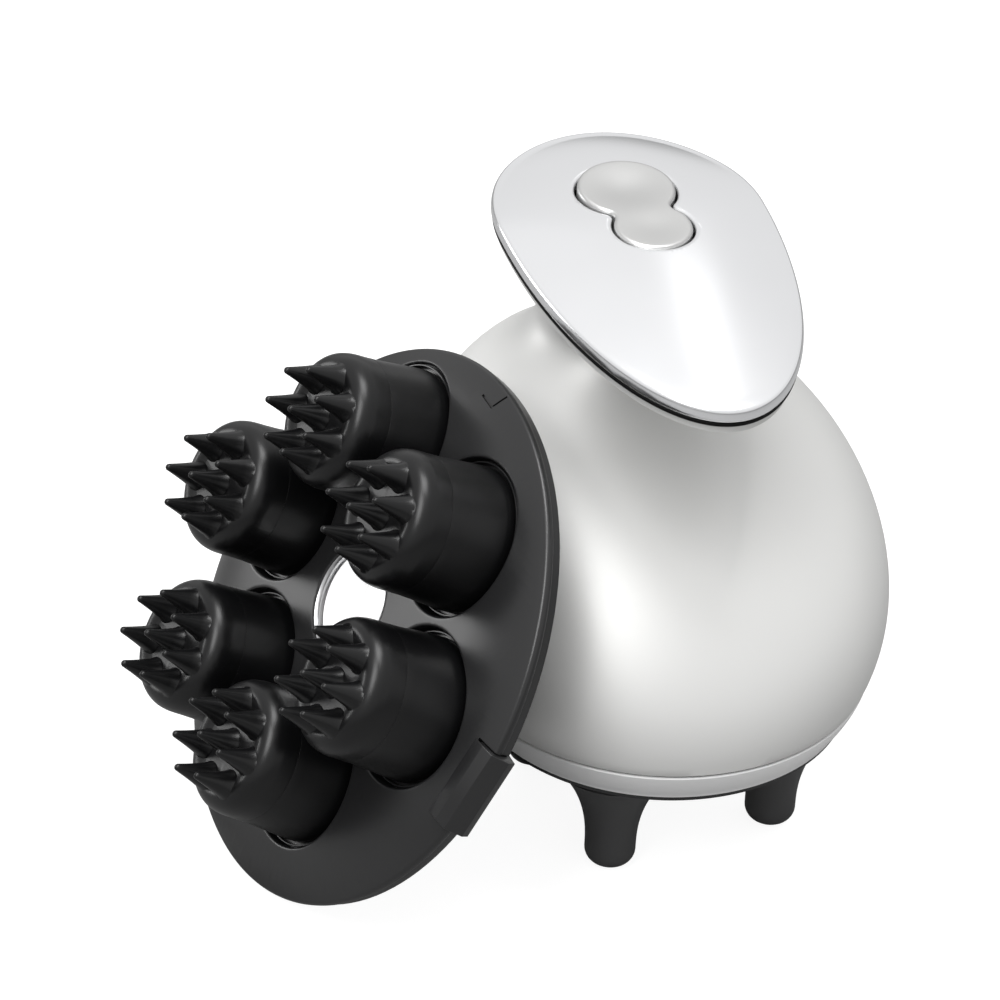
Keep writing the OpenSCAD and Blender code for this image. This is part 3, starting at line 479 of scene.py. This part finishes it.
def makeFlare():
    # the handle's under side: spun, then each ring is set between the neck and the plate's rim
    flare = dict(steps=30, inset=1, drop=2.6, lip=0.95, wallInset=5.2, wallDrop=1.2, first=50, turns=200)
    steps = flare["steps"]
    bm = ringStack(2 * steps + 4, flare["first"], flare["turns"])
    for v in bm.verts:
        a, i = ringOf(v, flare["first"])
        if steps < i <= steps + 2:
            # the two rings of the lip
            rim = egg(a, flare["inset"] if i == steps + 1 else flare["wallInset"])
            v.co = platePlace @ Vector((rim.x, rim.y, -flare["lip"]))
            continue
        if i <= steps:
            s, waist, inset, drop = i / steps, dome["neckRadius"], flare["inset"], flare["drop"]
        else:
            s, waist = (2 * steps + 3 - i) / steps, dome["neckRadius"] - dome["wall"]
            inset, drop = flare["wallInset"], flare["wallDrop"]
        rim = egg(a, inset)
        top = platePlace @ Vector((rim.x, rim.y, -drop))
        out, up = 1 - math.cos(math.pi / 2 * s), math.sin(math.pi / 2 * s)
        foot = Vector((waist * math.cos(a), dome["neckBack"] + waist * math.sin(a), dome["neckHeight"]))
        v.co = (foot.x + (top.x - foot.x) * out, foot.y + (top.y - foot.y) * out,
                foot.z + (top.z - foot.z) * up)
    return finishPiece(bm, "handleFlare", "unit", finishes["pearl"], ["handle_under"])


def makeBand():
    band = dict(radius=40.1, low=1.6, bulge=0.3, web=3.6, webThick=2, hole=14.6, seam=0.15, edge=0.4,
                steps=8, turns=160)
    radius, low, web, edge = band["radius"], band["low"], band["web"], band["edge"]
    parting, wall, webTop = dome["partingRadius"], dome["wall"], web + band["webThick"]
    top = dome["partingHeight"] - band["seam"]
    middle = (radius + parting) / 2 + band["bulge"]
    slope = [(radius + (parting - radius) * t + band["bulge"] * 4 * t * (1 - t),
              low + 0.45 + (top - low - 0.8) * t)
             for t in [i / band["steps"] for i in range(band["steps"] + 1)]]
    bm = sketch([(band["hole"], web), (radius - wall, web), (radius - wall, low), (radius - edge, low),
                 (radius - 0.1, low + 0.12)] + slope
                + [(parting - 0.12, top - 0.1), (parting - edge, top), (parting - wall, top),
                   (middle - wall, webTop), (band["hole"], webTop), (band["hole"], web)])
    spinAround(bm, band["turns"])
    return finishPiece(bm, "taperedBand", "unit", finishes["band"], ["lower_band"])


makeDome()
makeFlare()
makeBand()
print("dome, flare and band made")


# palm plate and button

lobes = dict(bigRadius=10.0, bigBack=38.6, smallRadius=7.95, smallBack=24.2, smallSide=1.2,
             fillet=2.3, heart=31.2)
lobeCentres = (Vector((0, lobes["bigBack"])), Vector((lobes["smallSide"], lobes["smallBack"])))
heart = Vector((0, lobes["heart"]))


def lobeEdge(direction, grow):
    # distance from the button's heart to its two-lobed outline, grown by grow, in a direction
    radii = (lobes["bigRadius"] + grow, lobes["smallRadius"] + grow)
    best = 0
    for centre, r in zip(lobeCentres, radii):
        away = centre - heart
        along = away.dot(direction)
        best = max(best, along + math.sqrt(max(0, along * along - away.length_squared + r * r)))
    # a small circle rounds each notch off
    fillet = lobes["fillet"] - grow
    big, small = radii[0] + fillet, radii[1] + fillet
    apart = lobeCentres[1] - lobeCentres[0]
    d = apart.length
    down = (big * big - small * small + d * d) / (2 * d)
    aside = Vector((-apart.y, apart.x)) / d * math.sqrt(max(0, big * big - down * down))
    if aside.dot(direction) < 0:
        aside = -aside
    centre = lobeCentres[0] + apart / d * down + aside - heart
    along = centre.dot(direction)
    reach = along * along - centre.length_squared + fillet * fillet
    if reach > 0 and fillet > 0:
        touchBig = lobeCentres[0] - heart
        touchSmall = lobeCentres[1] - heart
        edgeBig = touchBig + (centre - touchBig) * (radii[0] / big)
        edgeSmall = touchSmall + (centre - touchSmall) * (radii[1] / small)
        if direction.cross(edgeBig) * direction.cross(edgeSmall) < 0 and direction.dot(edgeBig) > 0:
            best = along - math.sqrt(reach)
    return best


def crownHeight(x, y):
    # height of the plate's crown over its rim, from how far out the point lies
    away = Vector((x, y - plateMiddle))
    if away.length < 1e-6:
        return plate["crown"]
    low, high = -math.pi / 2, math.pi / 2
    for _ in range(plate["halvings"]):
        mid = (low + high) / 2
        edge = egg(mid, plate["creaseInset"]) - Vector((0, plateMiddle))
        if math.atan2(edge.y, edge.x) < math.atan2(away.y, abs(away.x)):
            low = mid
        else:
            high = mid
    edge = egg((low + high) / 2, plate["creaseInset"]) - Vector((0, plateMiddle))
    s = away.length / edge.length
    rim = plate["creaseHeight"]
    return rim + (plate["crown"] - rim) * (1 - s * s) - backDrop((low + high) / 2) * min(1, s) ** 4


def backDrop(a):
    # the rim sinks towards the wide end
    return plate["backDrop"] * smoothStep((math.sin(a) + 0.1) / 1.1)


def makePlate():
    # rings from the rolled rim over the crown, down into the button's opening and back underneath
    rolled = [(3.4, 0), (2.4, 0), (0.9, 0), (0.45, 0.08), (0.15, 0.35), (0.02, 0.8), (0, 1.3),
              (0.05, 1.8), (0.14, 2.2), (0.27, 2.55), (0.45, 2.8), (0.68, 2.96), (0.95, 3.05),
              (1.2, 3.1), (1.45, 3.16), (1.65, 3.21)]
    opening = [(1.5, 0.0), (1.1, -0.05), (0.8, -0.16), (0.58, -0.36), (0.45, -0.7), (0.4, -1.2),
               (0.4, -1.8)]
    skin = dict(steps=26, crowding=1.25, underSteps=6, underInset=3.4, underGrow=0.6, underLow=0.3,
                thick=1.9, first=200)
    spread = [i / skin["steps"] for i in range(skin["steps"] + 1)]
    under = [i / skin["underSteps"] for i in range(skin["underSteps"] + 1)]
    count = len(rolled) + len(spread) + len(opening)
    bm = ringStack(count + len(under), skin["first"], plate["turns"])
    for v in bm.verts:
        a, i = ringOf(v, skin["first"])
        rim = egg(a, plate["creaseInset"])
        direction = (rim - heart).normalized()
        inner = heart + direction * lobeEdge(direction, opening[0][0])
        if i < len(rolled):
            p = egg(a, rolled[i][0])
            high = rolled[i][1]
            v.co = (p.x, p.y, high - backDrop(a) * high / plate["creaseHeight"])
        elif i < len(rolled) + len(spread):
            t = spread[i - len(rolled)]
            p = rim.lerp(inner, 1 - (1 - t) ** skin["crowding"])
            v.co = (p.x, p.y, crownHeight(p.x, p.y))
        elif i < count:
            grow, drop = opening[i - len(rolled) - len(spread)]
            p = heart + direction * lobeEdge(direction, grow)
            v.co = (p.x, p.y, crownHeight(p.x, p.y) + drop)
        else:
            t = under[i - count]
            edge = heart + direction * lobeEdge(direction, skin["underGrow"])
            p = edge.lerp(egg(a, skin["underInset"]), t)
            low = skin["underLow"]
            v.co = (p.x, p.y, max(low, crownHeight(p.x, p.y) - skin["thick"]) if t < 1 else low)
    return finishPiece(bm, "palmPlate", "unit", finishes["chrome"], ["handle_plate"],
                       place=platePlace, sharp=50)


def makePlateLine():
    # the dark seal under the plate's rolled edge
    seal = dict(outer=0.28, inner=4.6, low=-0.93, high=-0.02, lowRound=0.2, highRound=0.1, first=100)
    outer, inner, low, high = seal["outer"], seal["inner"], seal["low"], seal["high"]
    loop = [(outer + seal["lowRound"], low), (outer, low + seal["lowRound"]),
            (outer, high - seal["highRound"]), (outer + seal["highRound"], high), (inner, high),
            (inner, low)]
    bm = ringStack(len(loop), seal["first"], plate["turns"])
    for v in bm.verts:
        a, i = ringOf(v, seal["first"])
        inset, z = loop[i]
        p = egg(a, inset)
        v.co = (p.x, p.y, z)
    return finishPiece(bm, "plateLine", "unit", finishes["line"], ["plate_seal"],
                       place=platePlace)


def makeButton():
    # both lobes in one skin, each dished for the thumb
    shape = dict(top=6.15, dish=0.75, dishSpread=6.2, hollow=0.3, hollowSpread=4.8, round=0.8,
                 roundSteps=6, foot=1.9, footGrow=-3, skirt=-2.2, skinDepth=-1.5, rings=26, first=100,
                 turns=220)
    rings = shape["rings"]
    rim = arc(0, 0, shape["round"], 90, 0, shape["roundSteps"])
    bm = ringStack(rings + len(rim) + 3, shape["first"], shape["turns"], closed=False)
    middle = bm.verts.new((0, lobes["heart"], 0))
    centreRing = []
    for v in bm.verts:
        if v is middle:
            continue
        a, i = ringOf(v, shape["first"])
        direction = Vector((math.cos(a), math.sin(a)))
        if i < rings:
            edge = lobeEdge(direction, -shape["round"])
            p = heart + direction * edge * (i + 1) / (rings + 1)
            v.co = (p.x, p.y, 0)
            if i == 0:
                centreRing.append(v)
        elif i < rings + len(rim):
            out, rise = rim[i - rings]
            p = heart + direction * lobeEdge(direction, out - shape["round"])
            v.co = (p.x, p.y, rise - shape["round"])
        else:
            # the skirt's ring, the foot's outer edge and its inner edge
            j = i - rings - len(rim)
            p = heart + direction * lobeEdge(direction, 0 if j < 2 else shape["footGrow"])
            v.co = (p.x, p.y, shape["skirt"] if j == 0 else shape["foot"] - shape["top"])
    ordered = sorted(centreRing, key=lambda v: math.atan2(v.co.y - lobes["heart"], v.co.x))
    for a, b in zip(ordered, ordered[1:] + ordered[:1]):
        bm.faces.new((middle, a, b))
    big, small = lobeCentres
    for v in bm.verts:
        flat = Vector((v.co.x, v.co.y))
        dish = math.exp(-((flat - big).length / shape["dishSpread"]) ** 2)
        hollow = math.exp(-((flat - small).length / shape["hollowSpread"]) ** 2)
        if v.co.z > shape["skinDepth"]:
            v.co.z -= shape["dish"] * dish + shape["hollow"] * hollow
        v.co.z += shape["top"]
    # the middle of the skin's under side is closed
    loose = [e for e in bm.edges if e.is_boundary]
    bmesh.ops.holes_fill(bm, edges=loose, sides=0)
    return finishPiece(bm, "thumbButton", "button", finishes["button"], ["button"],
                       place=platePlace, sharp=40)


makePlate()
makePlateLine()
makeButton()
print("plate and button made")


# legs

def makeLegs():
    leg = dict(length=26.2, ring=26.4, radius=5.3, root=12.9, flare=22, bend=2.3, turn=8.7, count=4,
               tip=3.2, flareSteps=18, tipSteps=8, turns=64)
    radius, root, tip, length = leg["radius"], leg["root"], leg["tip"], leg["length"]
    outline = [(0, 0), (root + 0.2, 0), (root, -0.25)]
    for i in range(1, leg["flareSteps"]):
        s = i / leg["flareSteps"]
        outline.append((radius + (root - radius) * (1 - s) ** leg["bend"], -leg["flare"] * s))
    outline += [(radius, -leg["flare"]), (radius, tip - length)]
    for i in range(1, leg["tipSteps"] + 1):
        t = math.radians(90 * i / leg["tipSteps"])
        outline.append((radius - tip + tip * math.cos(t), tip - length - tip * math.sin(t)))
    outline.append((0, -length))
    legs = bmesh.new()
    for k in range(leg["count"]):
        bm = spinAround(sketch(outline), leg["turns"])
        turn = math.radians(leg["turn"] - 180 / leg["count"] + 360 / leg["count"] * k)
        bmesh.ops.translate(bm, vec=(leg["ring"] * math.cos(turn), leg["ring"] * math.sin(turn), 0),
                            verts=bm.verts)
        addTo(legs, bm)
    return finishPiece(legs, "softLegs", "drive", finishes["leg"], ["leg_covers"])


makeLegs()
print("legs made")


# brush head

head = dict(rim=57.5, wells=6, ring=34.5, wellRadius=16.2, wellEdge=0.5, floor=0.6, faceHeight=4,
            rimHeight=0.5, hubUp=2.4, hubSide=2.9, firstBrush=26, under=-0.95, hole=11.8,
            gridReach=57.0, gridStep=2.0, wellTurns=96, rimTurns=240, sharp=34)
hubPlace = Vector(joints["hub_turn"]["pos_m"]) / mm
headOut = Vector(joints["hub_turn"]["axis"]).normalized()
headUp = (Vector((0, 0, 1)) - headOut * headOut.z).normalized()
headSide = headOut.cross(headUp)
headPlace = Matrix.Translation(hubPlace) @ Matrix((headUp, headSide, headOut)).transposed().to_4x4()


def faceHeight(x, y):
    away = math.hypot(x + head["hubUp"], y + head["hubSide"]) / head["rim"]
    return head["rimHeight"] + (head["faceHeight"] - head["rimHeight"]) * (1 - min(1, away) ** 8)


def brushTurn(k):
    return math.radians(head["firstBrush"] - 360 / head["wells"] * (k - 1))


def brushPlace(k):
    joint = joints["brush_%d_turn" % k]
    at = Vector(joint["pos_m"]) / mm
    out = Vector(joint["axis"]).normalized()
    side = headOut.cross((at - hubPlace).normalized())
    return Matrix.Translation(at) @ Matrix((side.cross(out), side, out)).transposed().to_4x4()


def addSpun(target, points, steps, at, onFace):
    # a spun ring added to the face; where onFace is 1 its height counts from the face's surface
    bm = spinAround(sketch(points), steps)
    layer = bm.verts.layers.float.new("onFace")
    for v in bm.verts:
        r, z = math.hypot(v.co.x, v.co.y), v.co.z
        near = min(range(len(points)), key=lambda i: (points[i][0] - r) ** 2 + (points[i][1] - z) ** 2)
        v[layer] = onFace[near]
    bmesh.ops.translate(bm, vec=(*at, 0), verts=bm.verts)
    addTo(target, bm)


def makeFace():
    bm = bmesh.new()
    bm.verts.layers.float.new("onFace")
    edge, r, floor, tiny = head["wellEdge"], head["wellRadius"], head["floor"], 1e-3
    # wells: a rounded edge, a wall, the floor and a low ring around the brush
    wellTop = [(r + edge + 0.35, 0), (r + edge, 0)]
    for t in (25, 50, 75, 90):
        t = math.radians(t)
        wellTop.append((r + edge - edge * math.sin(t), -edge * (1 - math.cos(t))))
    lip = r - 0.62
    inWell = [(r, floor + 0.35), (r - 0.1, floor + 0.1), (r - 0.3, floor), (lip + 0.22, floor),
              (lip + 0.2, floor + 1.3), (lip + 0.08, floor + 1.5), (lip - 0.12, floor + 1.5),
              (lip - 0.24, floor + 1.3), (lip - 0.28, floor), (0, floor)]
    for k in range(1, head["wells"] + 1):
        t = brushTurn(k)
        addSpun(bm, wellTop + inWell, head["wellTurns"],
                (head["ring"] * math.cos(t), head["ring"] * math.sin(t)),
                [1] * len(wellTop) + [0] * len(inWell))
    rimLine = [(55.9, 0), (56.3, 0), (56.75, 0)]
    rimDown = [(57.1, 0.72), (57.32, 0.45), (57.46, 0.1), (57.5, -0.2), (57.42, -0.75), (57.25, -0.98),
               (55.3, head["under"])]
    addSpun(bm, rimLine + rimDown, head["rimTurns"], (-head["hubUp"], -head["hubSide"]),
            [1] * len(rimLine) + [0] * len(rimDown))
    hole, high = head["hole"], head["faceHeight"]
    hubLine = [(hole + 0.9, 0), (hole + 0.4, 0)]
    hubDown = [(hole + 0.08, high - 0.12), (hole, high - 0.4), (hole, head["under"])]
    addSpun(bm, hubLine + hubDown, head["wellTurns"], (0, 0), [1] * len(hubLine) + [0] * len(hubDown))
    layer = bm.verts.layers.float["onFace"]
    openEdges = [e for e in bm.edges if e.is_boundary]
    topEdges = [e for e in openEdges if abs(e.verts[0].co.z) < 0.01]
    lowEdges = [e for e in openEdges if abs(e.verts[0].co.z - head["under"]) < 0.01]
    bmesh.ops.triangle_fill(bm, use_beauty=True, edges=lowEdges, normal=(0, 0, -1))
    bmesh.ops.triangle_fill(bm, use_beauty=True, edges=topEdges, normal=(0, 0, 1))
    # the land is cut into a grid so that it can follow the domed face
    for axis in (0, 1):
        normal = (1, 0, 0) if axis == 0 else (0, 1, 0)
        step = -head["gridReach"]
        while step < head["gridReach"]:
            faces = [f for f in bm.faces if abs(f.calc_center_median().z) < tiny
                     and abs(f.normal.z) > 0.9 and all(abs(v.co.z) < tiny for v in f.verts)]
            geom = set(faces)
            for f in faces:
                geom.update(f.verts)
                geom.update(f.edges)
            at = (step, 0, 0) if axis == 0 else (0, step, 0)
            bmesh.ops.bisect_plane(bm, geom=list(geom), dist=1e-4, plane_co=at, plane_no=normal)
            step += head["gridStep"]
    for v in bm.verts:
        if abs(v.co.z) < tiny:
            v[layer] = 1
    for v in bm.verts:
        if v[layer] > 0.5:
            v.co.z += faceHeight(v.co.x, v.co.y)
    return bm


def addPrism(bm, outline, low, high):
    # an outline stood up between two height rules
    lower = [bm.verts.new((x, y, low(x, y))) for x, y in outline]
    base = bm.faces.new(lower)
    raised = bmesh.ops.extrude_face_region(bm, geom=[base])["geom"]
    for v in raised:
        if isinstance(v, bmesh.types.BMVert):
            v.co.z = high(v.co.x, v.co.y)


tab = dict(turn=-92, width=18, inner=51.9, gap=0.25, edgeRound=0.11,
           outline=((53.05, -3.6), (58.1, -3.6), (58.7, -1.8), (57.3, 1.9), (54.6, 2.72), (51.9, 3.04),
                    (51.9, 2.74), (53.05, 2.72)))
tabPlace = (headPlace @ Matrix.Translation((-head["hubUp"], -head["hubSide"], 0))
            @ Matrix.Rotation(math.radians(tab["turn"]), 4, "Z"))


def finishFace():
    face = finishPiece(makeFace(), "brushFace", "head", finishes["disc"], ["head_face"],
                       place=headPlace, sharp=head["sharp"])
    # the engraved mark near the rim
    mark = dict(points=((51.2, -0.2), (51.0, -4.9), (54.5, -5.8)), half=0.24, depth=0.4, high=8)
    start, corner, end = [Vector(p) for p in mark["points"]]
    along, across = (corner - start).normalized(), (end - corner).normalized()
    sideA = Vector((along.y, -along.x)) * mark["half"]
    sideB = Vector((across.y, -across.x)) * mark["half"]
    bend = sideA + sideB
    bend *= mark["half"] ** 2 / bend.dot(sideA)
    outline = [start + sideA, corner + bend, end + sideB, end - sideB, corner - bend, start - sideA]
    markTool = bmesh.new()
    addPrism(markTool, [(p.x, p.y) for p in outline],
             lambda x, y: faceHeight(x, y) - mark["depth"], lambda x, y: mark["high"])
    # the notch that the tab slides in
    notch = dict(outer=64, low=-6, high=8)
    half = tab["width"] / 2 + tab["gap"]
    corners = [(tab["inner"], -half), (notch["outer"], -half), (notch["outer"], half),
               (tab["inner"], half)]
    notchTool = bmesh.new()
    addPrism(notchTool, corners, lambda x, y: notch["low"], lambda x, y: notch["high"])
    for shape, where in ((markTool, headPlace), (notchTool, tabPlace)):
        bmesh.ops.transform(shape, matrix=where, verts=shape.verts)
        bmesh.ops.scale(shape, vec=(mm, mm, mm), verts=shape.verts)
        bmesh.ops.recalc_face_normals(shape, faces=shape.faces)
        cutWith(face, newObject("cutter", meshFrom(shape, "cutter")))
    face.data.set_sharp_from_angle(angle=math.radians(head["sharp"]))


def makeTab():
    bm = bmesh.new()
    half = tab["width"] / 2
    side = bm.faces.new([bm.verts.new((r, -half, z)) for r, z in tab["outline"]])
    pulled = bmesh.ops.extrude_face_region(bm, geom=[side])["geom"]
    bmesh.ops.translate(bm, vec=(0, tab["width"], 0),
                        verts=[v for v in pulled if isinstance(v, bmesh.types.BMVert)])
    bmesh.ops.bevel(bm, geom=bm.edges[:], offset=tab["edgeRound"], segments=3, profile=0.5,
                    affect="EDGES", material=-1)
    return finishPiece(bm, "releaseTab", "tab", finishes["disc"], ["release_tab"],
                       place=tabPlace, sharp=50)


def makeHub():
    # a white sleeve through the middle hole, which glows with painted light so the bore looks bright,
    # and its satin metal lip
    bore = dict(inside=11.0, outside=11.55, lip=11.72, top=3.95, step=2.0, low=-6.85, turns=128)
    inside, outside, edge = bore["inside"], bore["outside"], bore["lip"]
    top, step, low = bore["top"], bore["step"], bore["low"]
    liner = sketch([(inside, step), (inside, low + 0.3), (inside + 0.15, low), (outside, low),
                    (outside, step), (inside, step)])
    spinAround(liner, bore["turns"])
    finishPiece(liner, "hubLiner", "hub", finishes["glowingSleeve"], ["hub_liner"],
                place=headPlace, sharp=40)
    lip = sketch([(inside + 0.1, step + 0.02), (inside - 0.02, step + 0.2), (inside, top - 0.75),
                  (inside + 0.1, top - 0.5), (inside + 0.45, top - 0.12), (edge - 0.15, top),
                  (edge, top - 0.1), (edge, top - 0.7), (outside, top - 0.9), (outside, step + 0.02),
                  (inside + 0.1, step + 0.02)])
    spinAround(lip, bore["turns"])
    finishPiece(lip, "hubLip", "hub", finishes["silver"], place=headPlace, sharp=40)


finishFace()
makeTab()
makeHub()
print("face, tab and hub made")


# brushes

brush = dict(count=6, bore=3.05, socket=5.4, foot=1.0, footRadius=14.8, seam=15.5, seamRadius=14.0,
             cupSteps=8, padTop=23.1, dish=0.6, tineTop=30.6, tineRing=8.7, tineRadius=3.05,
             tineTip=0.75, tines=7, turns=(31, 34, 20, 22, 26, 26), roundSteps=96, tineSteps=36)


def through(points, count):
    # a smooth line through points, for spun outlines
    line = []
    last = len(points) - 1
    for i in range(last):
        a, b, c, d = points[max(0, i - 1)], points[i], points[i + 1], points[min(last, i + 2)]
        for j in range(count):
            t = j / count
            line.append(tuple(
                0.5 * (2 * b[n] + (c[n] - a[n]) * t + (2 * a[n] - 5 * b[n] + 4 * c[n] - d[n]) * t * t
                       + (3 * b[n] - a[n] - 3 * c[n] + d[n]) * t ** 3) for n in (0, 1)))
    return line + [points[-1]]


def makeCup(k):
    foot, radius, seam, top = brush["foot"], brush["footRadius"], brush["seam"], brush["seamRadius"]
    bore, socket, steps = brush["bore"], brush["socket"], brush["cupSteps"]
    outline = [(bore, foot), (socket, foot), (socket, seam - 2), (top - 2.2, seam - 2),
               (radius - 1.8, foot), (radius - 0.4, foot), (radius - 0.1, foot + 0.12),
               (radius, foot + 0.4)]
    for i in range(1, steps + 1):
        outline.append((radius - (radius - top) * smoothStep(i / steps) * 0.98 - 0.01,
                        foot + 0.4 + (seam - foot - 0.75) * i / steps))
    outline += [(top - 0.03, seam - 0.03), (top - 0.06, seam - 0.01), (bore, seam - 0.01), (bore, foot)]
    bm = spinAround(sketch(outline), brush["roundSteps"])
    return finishPiece(bm, "brushCup%d" % k, "brush_%d" % k, finishes["cup"],
                       ["brush_cup_%d" % k], place=brushPlace(k), sharp=40)


def padShape():
    # one pad as a mesh: a dished cap and its tines, made one by a union
    top, side, dish, seam = brush["padTop"], brush["seamRadius"], brush["dish"], brush["seam"]
    rim = through([(side - 0.02, seam + 0.3), (side - 0.05, top - 4.6), (side - 0.18, top - 3.4),
                   (side - 0.45, top - 2.3), (side - 0.95, top - 1.35), (side - 1.65, top - 0.62),
                   (side - 2.5, top - 0.16), (side - 3.4, top), (side - 4.3, top - 0.12),
                   (side - 5.2, top - 0.38), (side - 6.1, top - dish)], 4)
    cap = spinAround(sketch([(0, seam), (side - 0.05, seam), (side - 0.03, seam + 0.02)] + rim
                            + [(0, top - dish)]), brush["roundSteps"])
    tip, high, low = brush["tineTip"], brush["tineTop"], top - dish - 0.6
    root, rise = brush["tineRadius"], high - tip * 0.9 - (top - dish)
    outline = [(0, low), (root + 0.35, low), (root + 0.2, top - dish + 0.1),
               (root + 0.05, top - dish + 0.35)]
    outline += [(root + (tip - root) * t - 0.1 * math.sin(math.pi * t), top - dish + rise * t)
                for t in (0.14, 0.3, 0.5, 0.7, 0.86)]
    outline += [(tip * math.cos(math.radians(t)), high - tip + tip * math.sin(math.radians(t)))
                for t in (8, 26, 44, 62, 78)] + [(0, high)]
    # one tine in the middle and the others around it
    tines = bmesh.new()
    for i in range(brush["tines"] + 1):
        tine = spinAround(sketch(outline), brush["tineSteps"])
        if i:
            turn = math.tau * i / brush["tines"]
            where = (brush["tineRing"] * math.cos(turn), brush["tineRing"] * math.sin(turn), 0)
            bmesh.ops.translate(tine, vec=where, verts=tine.verts)
        addTo(tines, tine)
    made = []
    for name, shape in (("padBody", cap), ("padTines", tines)):
        bmesh.ops.recalc_face_normals(shape, faces=shape.faces)
        made.append(newObject(name, meshFrom(shape, name)))
    body, spikes = made
    cutWith(body, spikes, "UNION")
    mesh = body.data
    bpy.data.objects.remove(body)
    return mesh


def makePad(k, shape):
    bm = bmesh.new()
    bm.from_mesh(shape)
    turned = brushPlace(k) @ Matrix.Rotation(math.radians(brush["turns"][k - 1]), 4, "Z")
    return finishPiece(bm, "brushPad%d" % k, "brush_%d" % k, finishes["pad"],
                       ["brush_pad_%d" % k], place=turned, sharp=40)


padMesh = padShape()
for k in range(1, brush["count"] + 1):
    makeCup(k)
    makePad(k, padMesh)
bpy.data.meshes.remove(padMesh)
print("brushes made")


# the finishes of the pieces that the scene carries over as they are
cadNodeFinish = dict(
    line=["parting_seal", "rotor_seal"],
    disc=["leg_disc", "head_back"],
    inner=["chassis", "gearbox_cover", "handle_frame"],
    steel=["chassis_screws", "lower_bearing", "cover_screws", "idler_pin", "motor", "drive_shaft",
           "drive_boss", "leg_cores", "neck_screws", "battery_strap", "button_pin", "head_screws",
           "tab_spring"],
    bronze=["upper_bush", "motor_pinion", "charge_contacts"],
    wrap=["battery"],
    board=["main_board", "switch_board"],
    gear=["output_gear", "idler_gear", "hub_gear"]
    + ["brush_gear_%d" % k for k in range(1, brush["count"] + 1)])
for finish, names in cadNodeFinish.items():
    for name in names:
        node = nodes[name]
        node.data.materials.clear()
        node.data.materials.append(finishes[finish])
print("carried-over pieces finished")
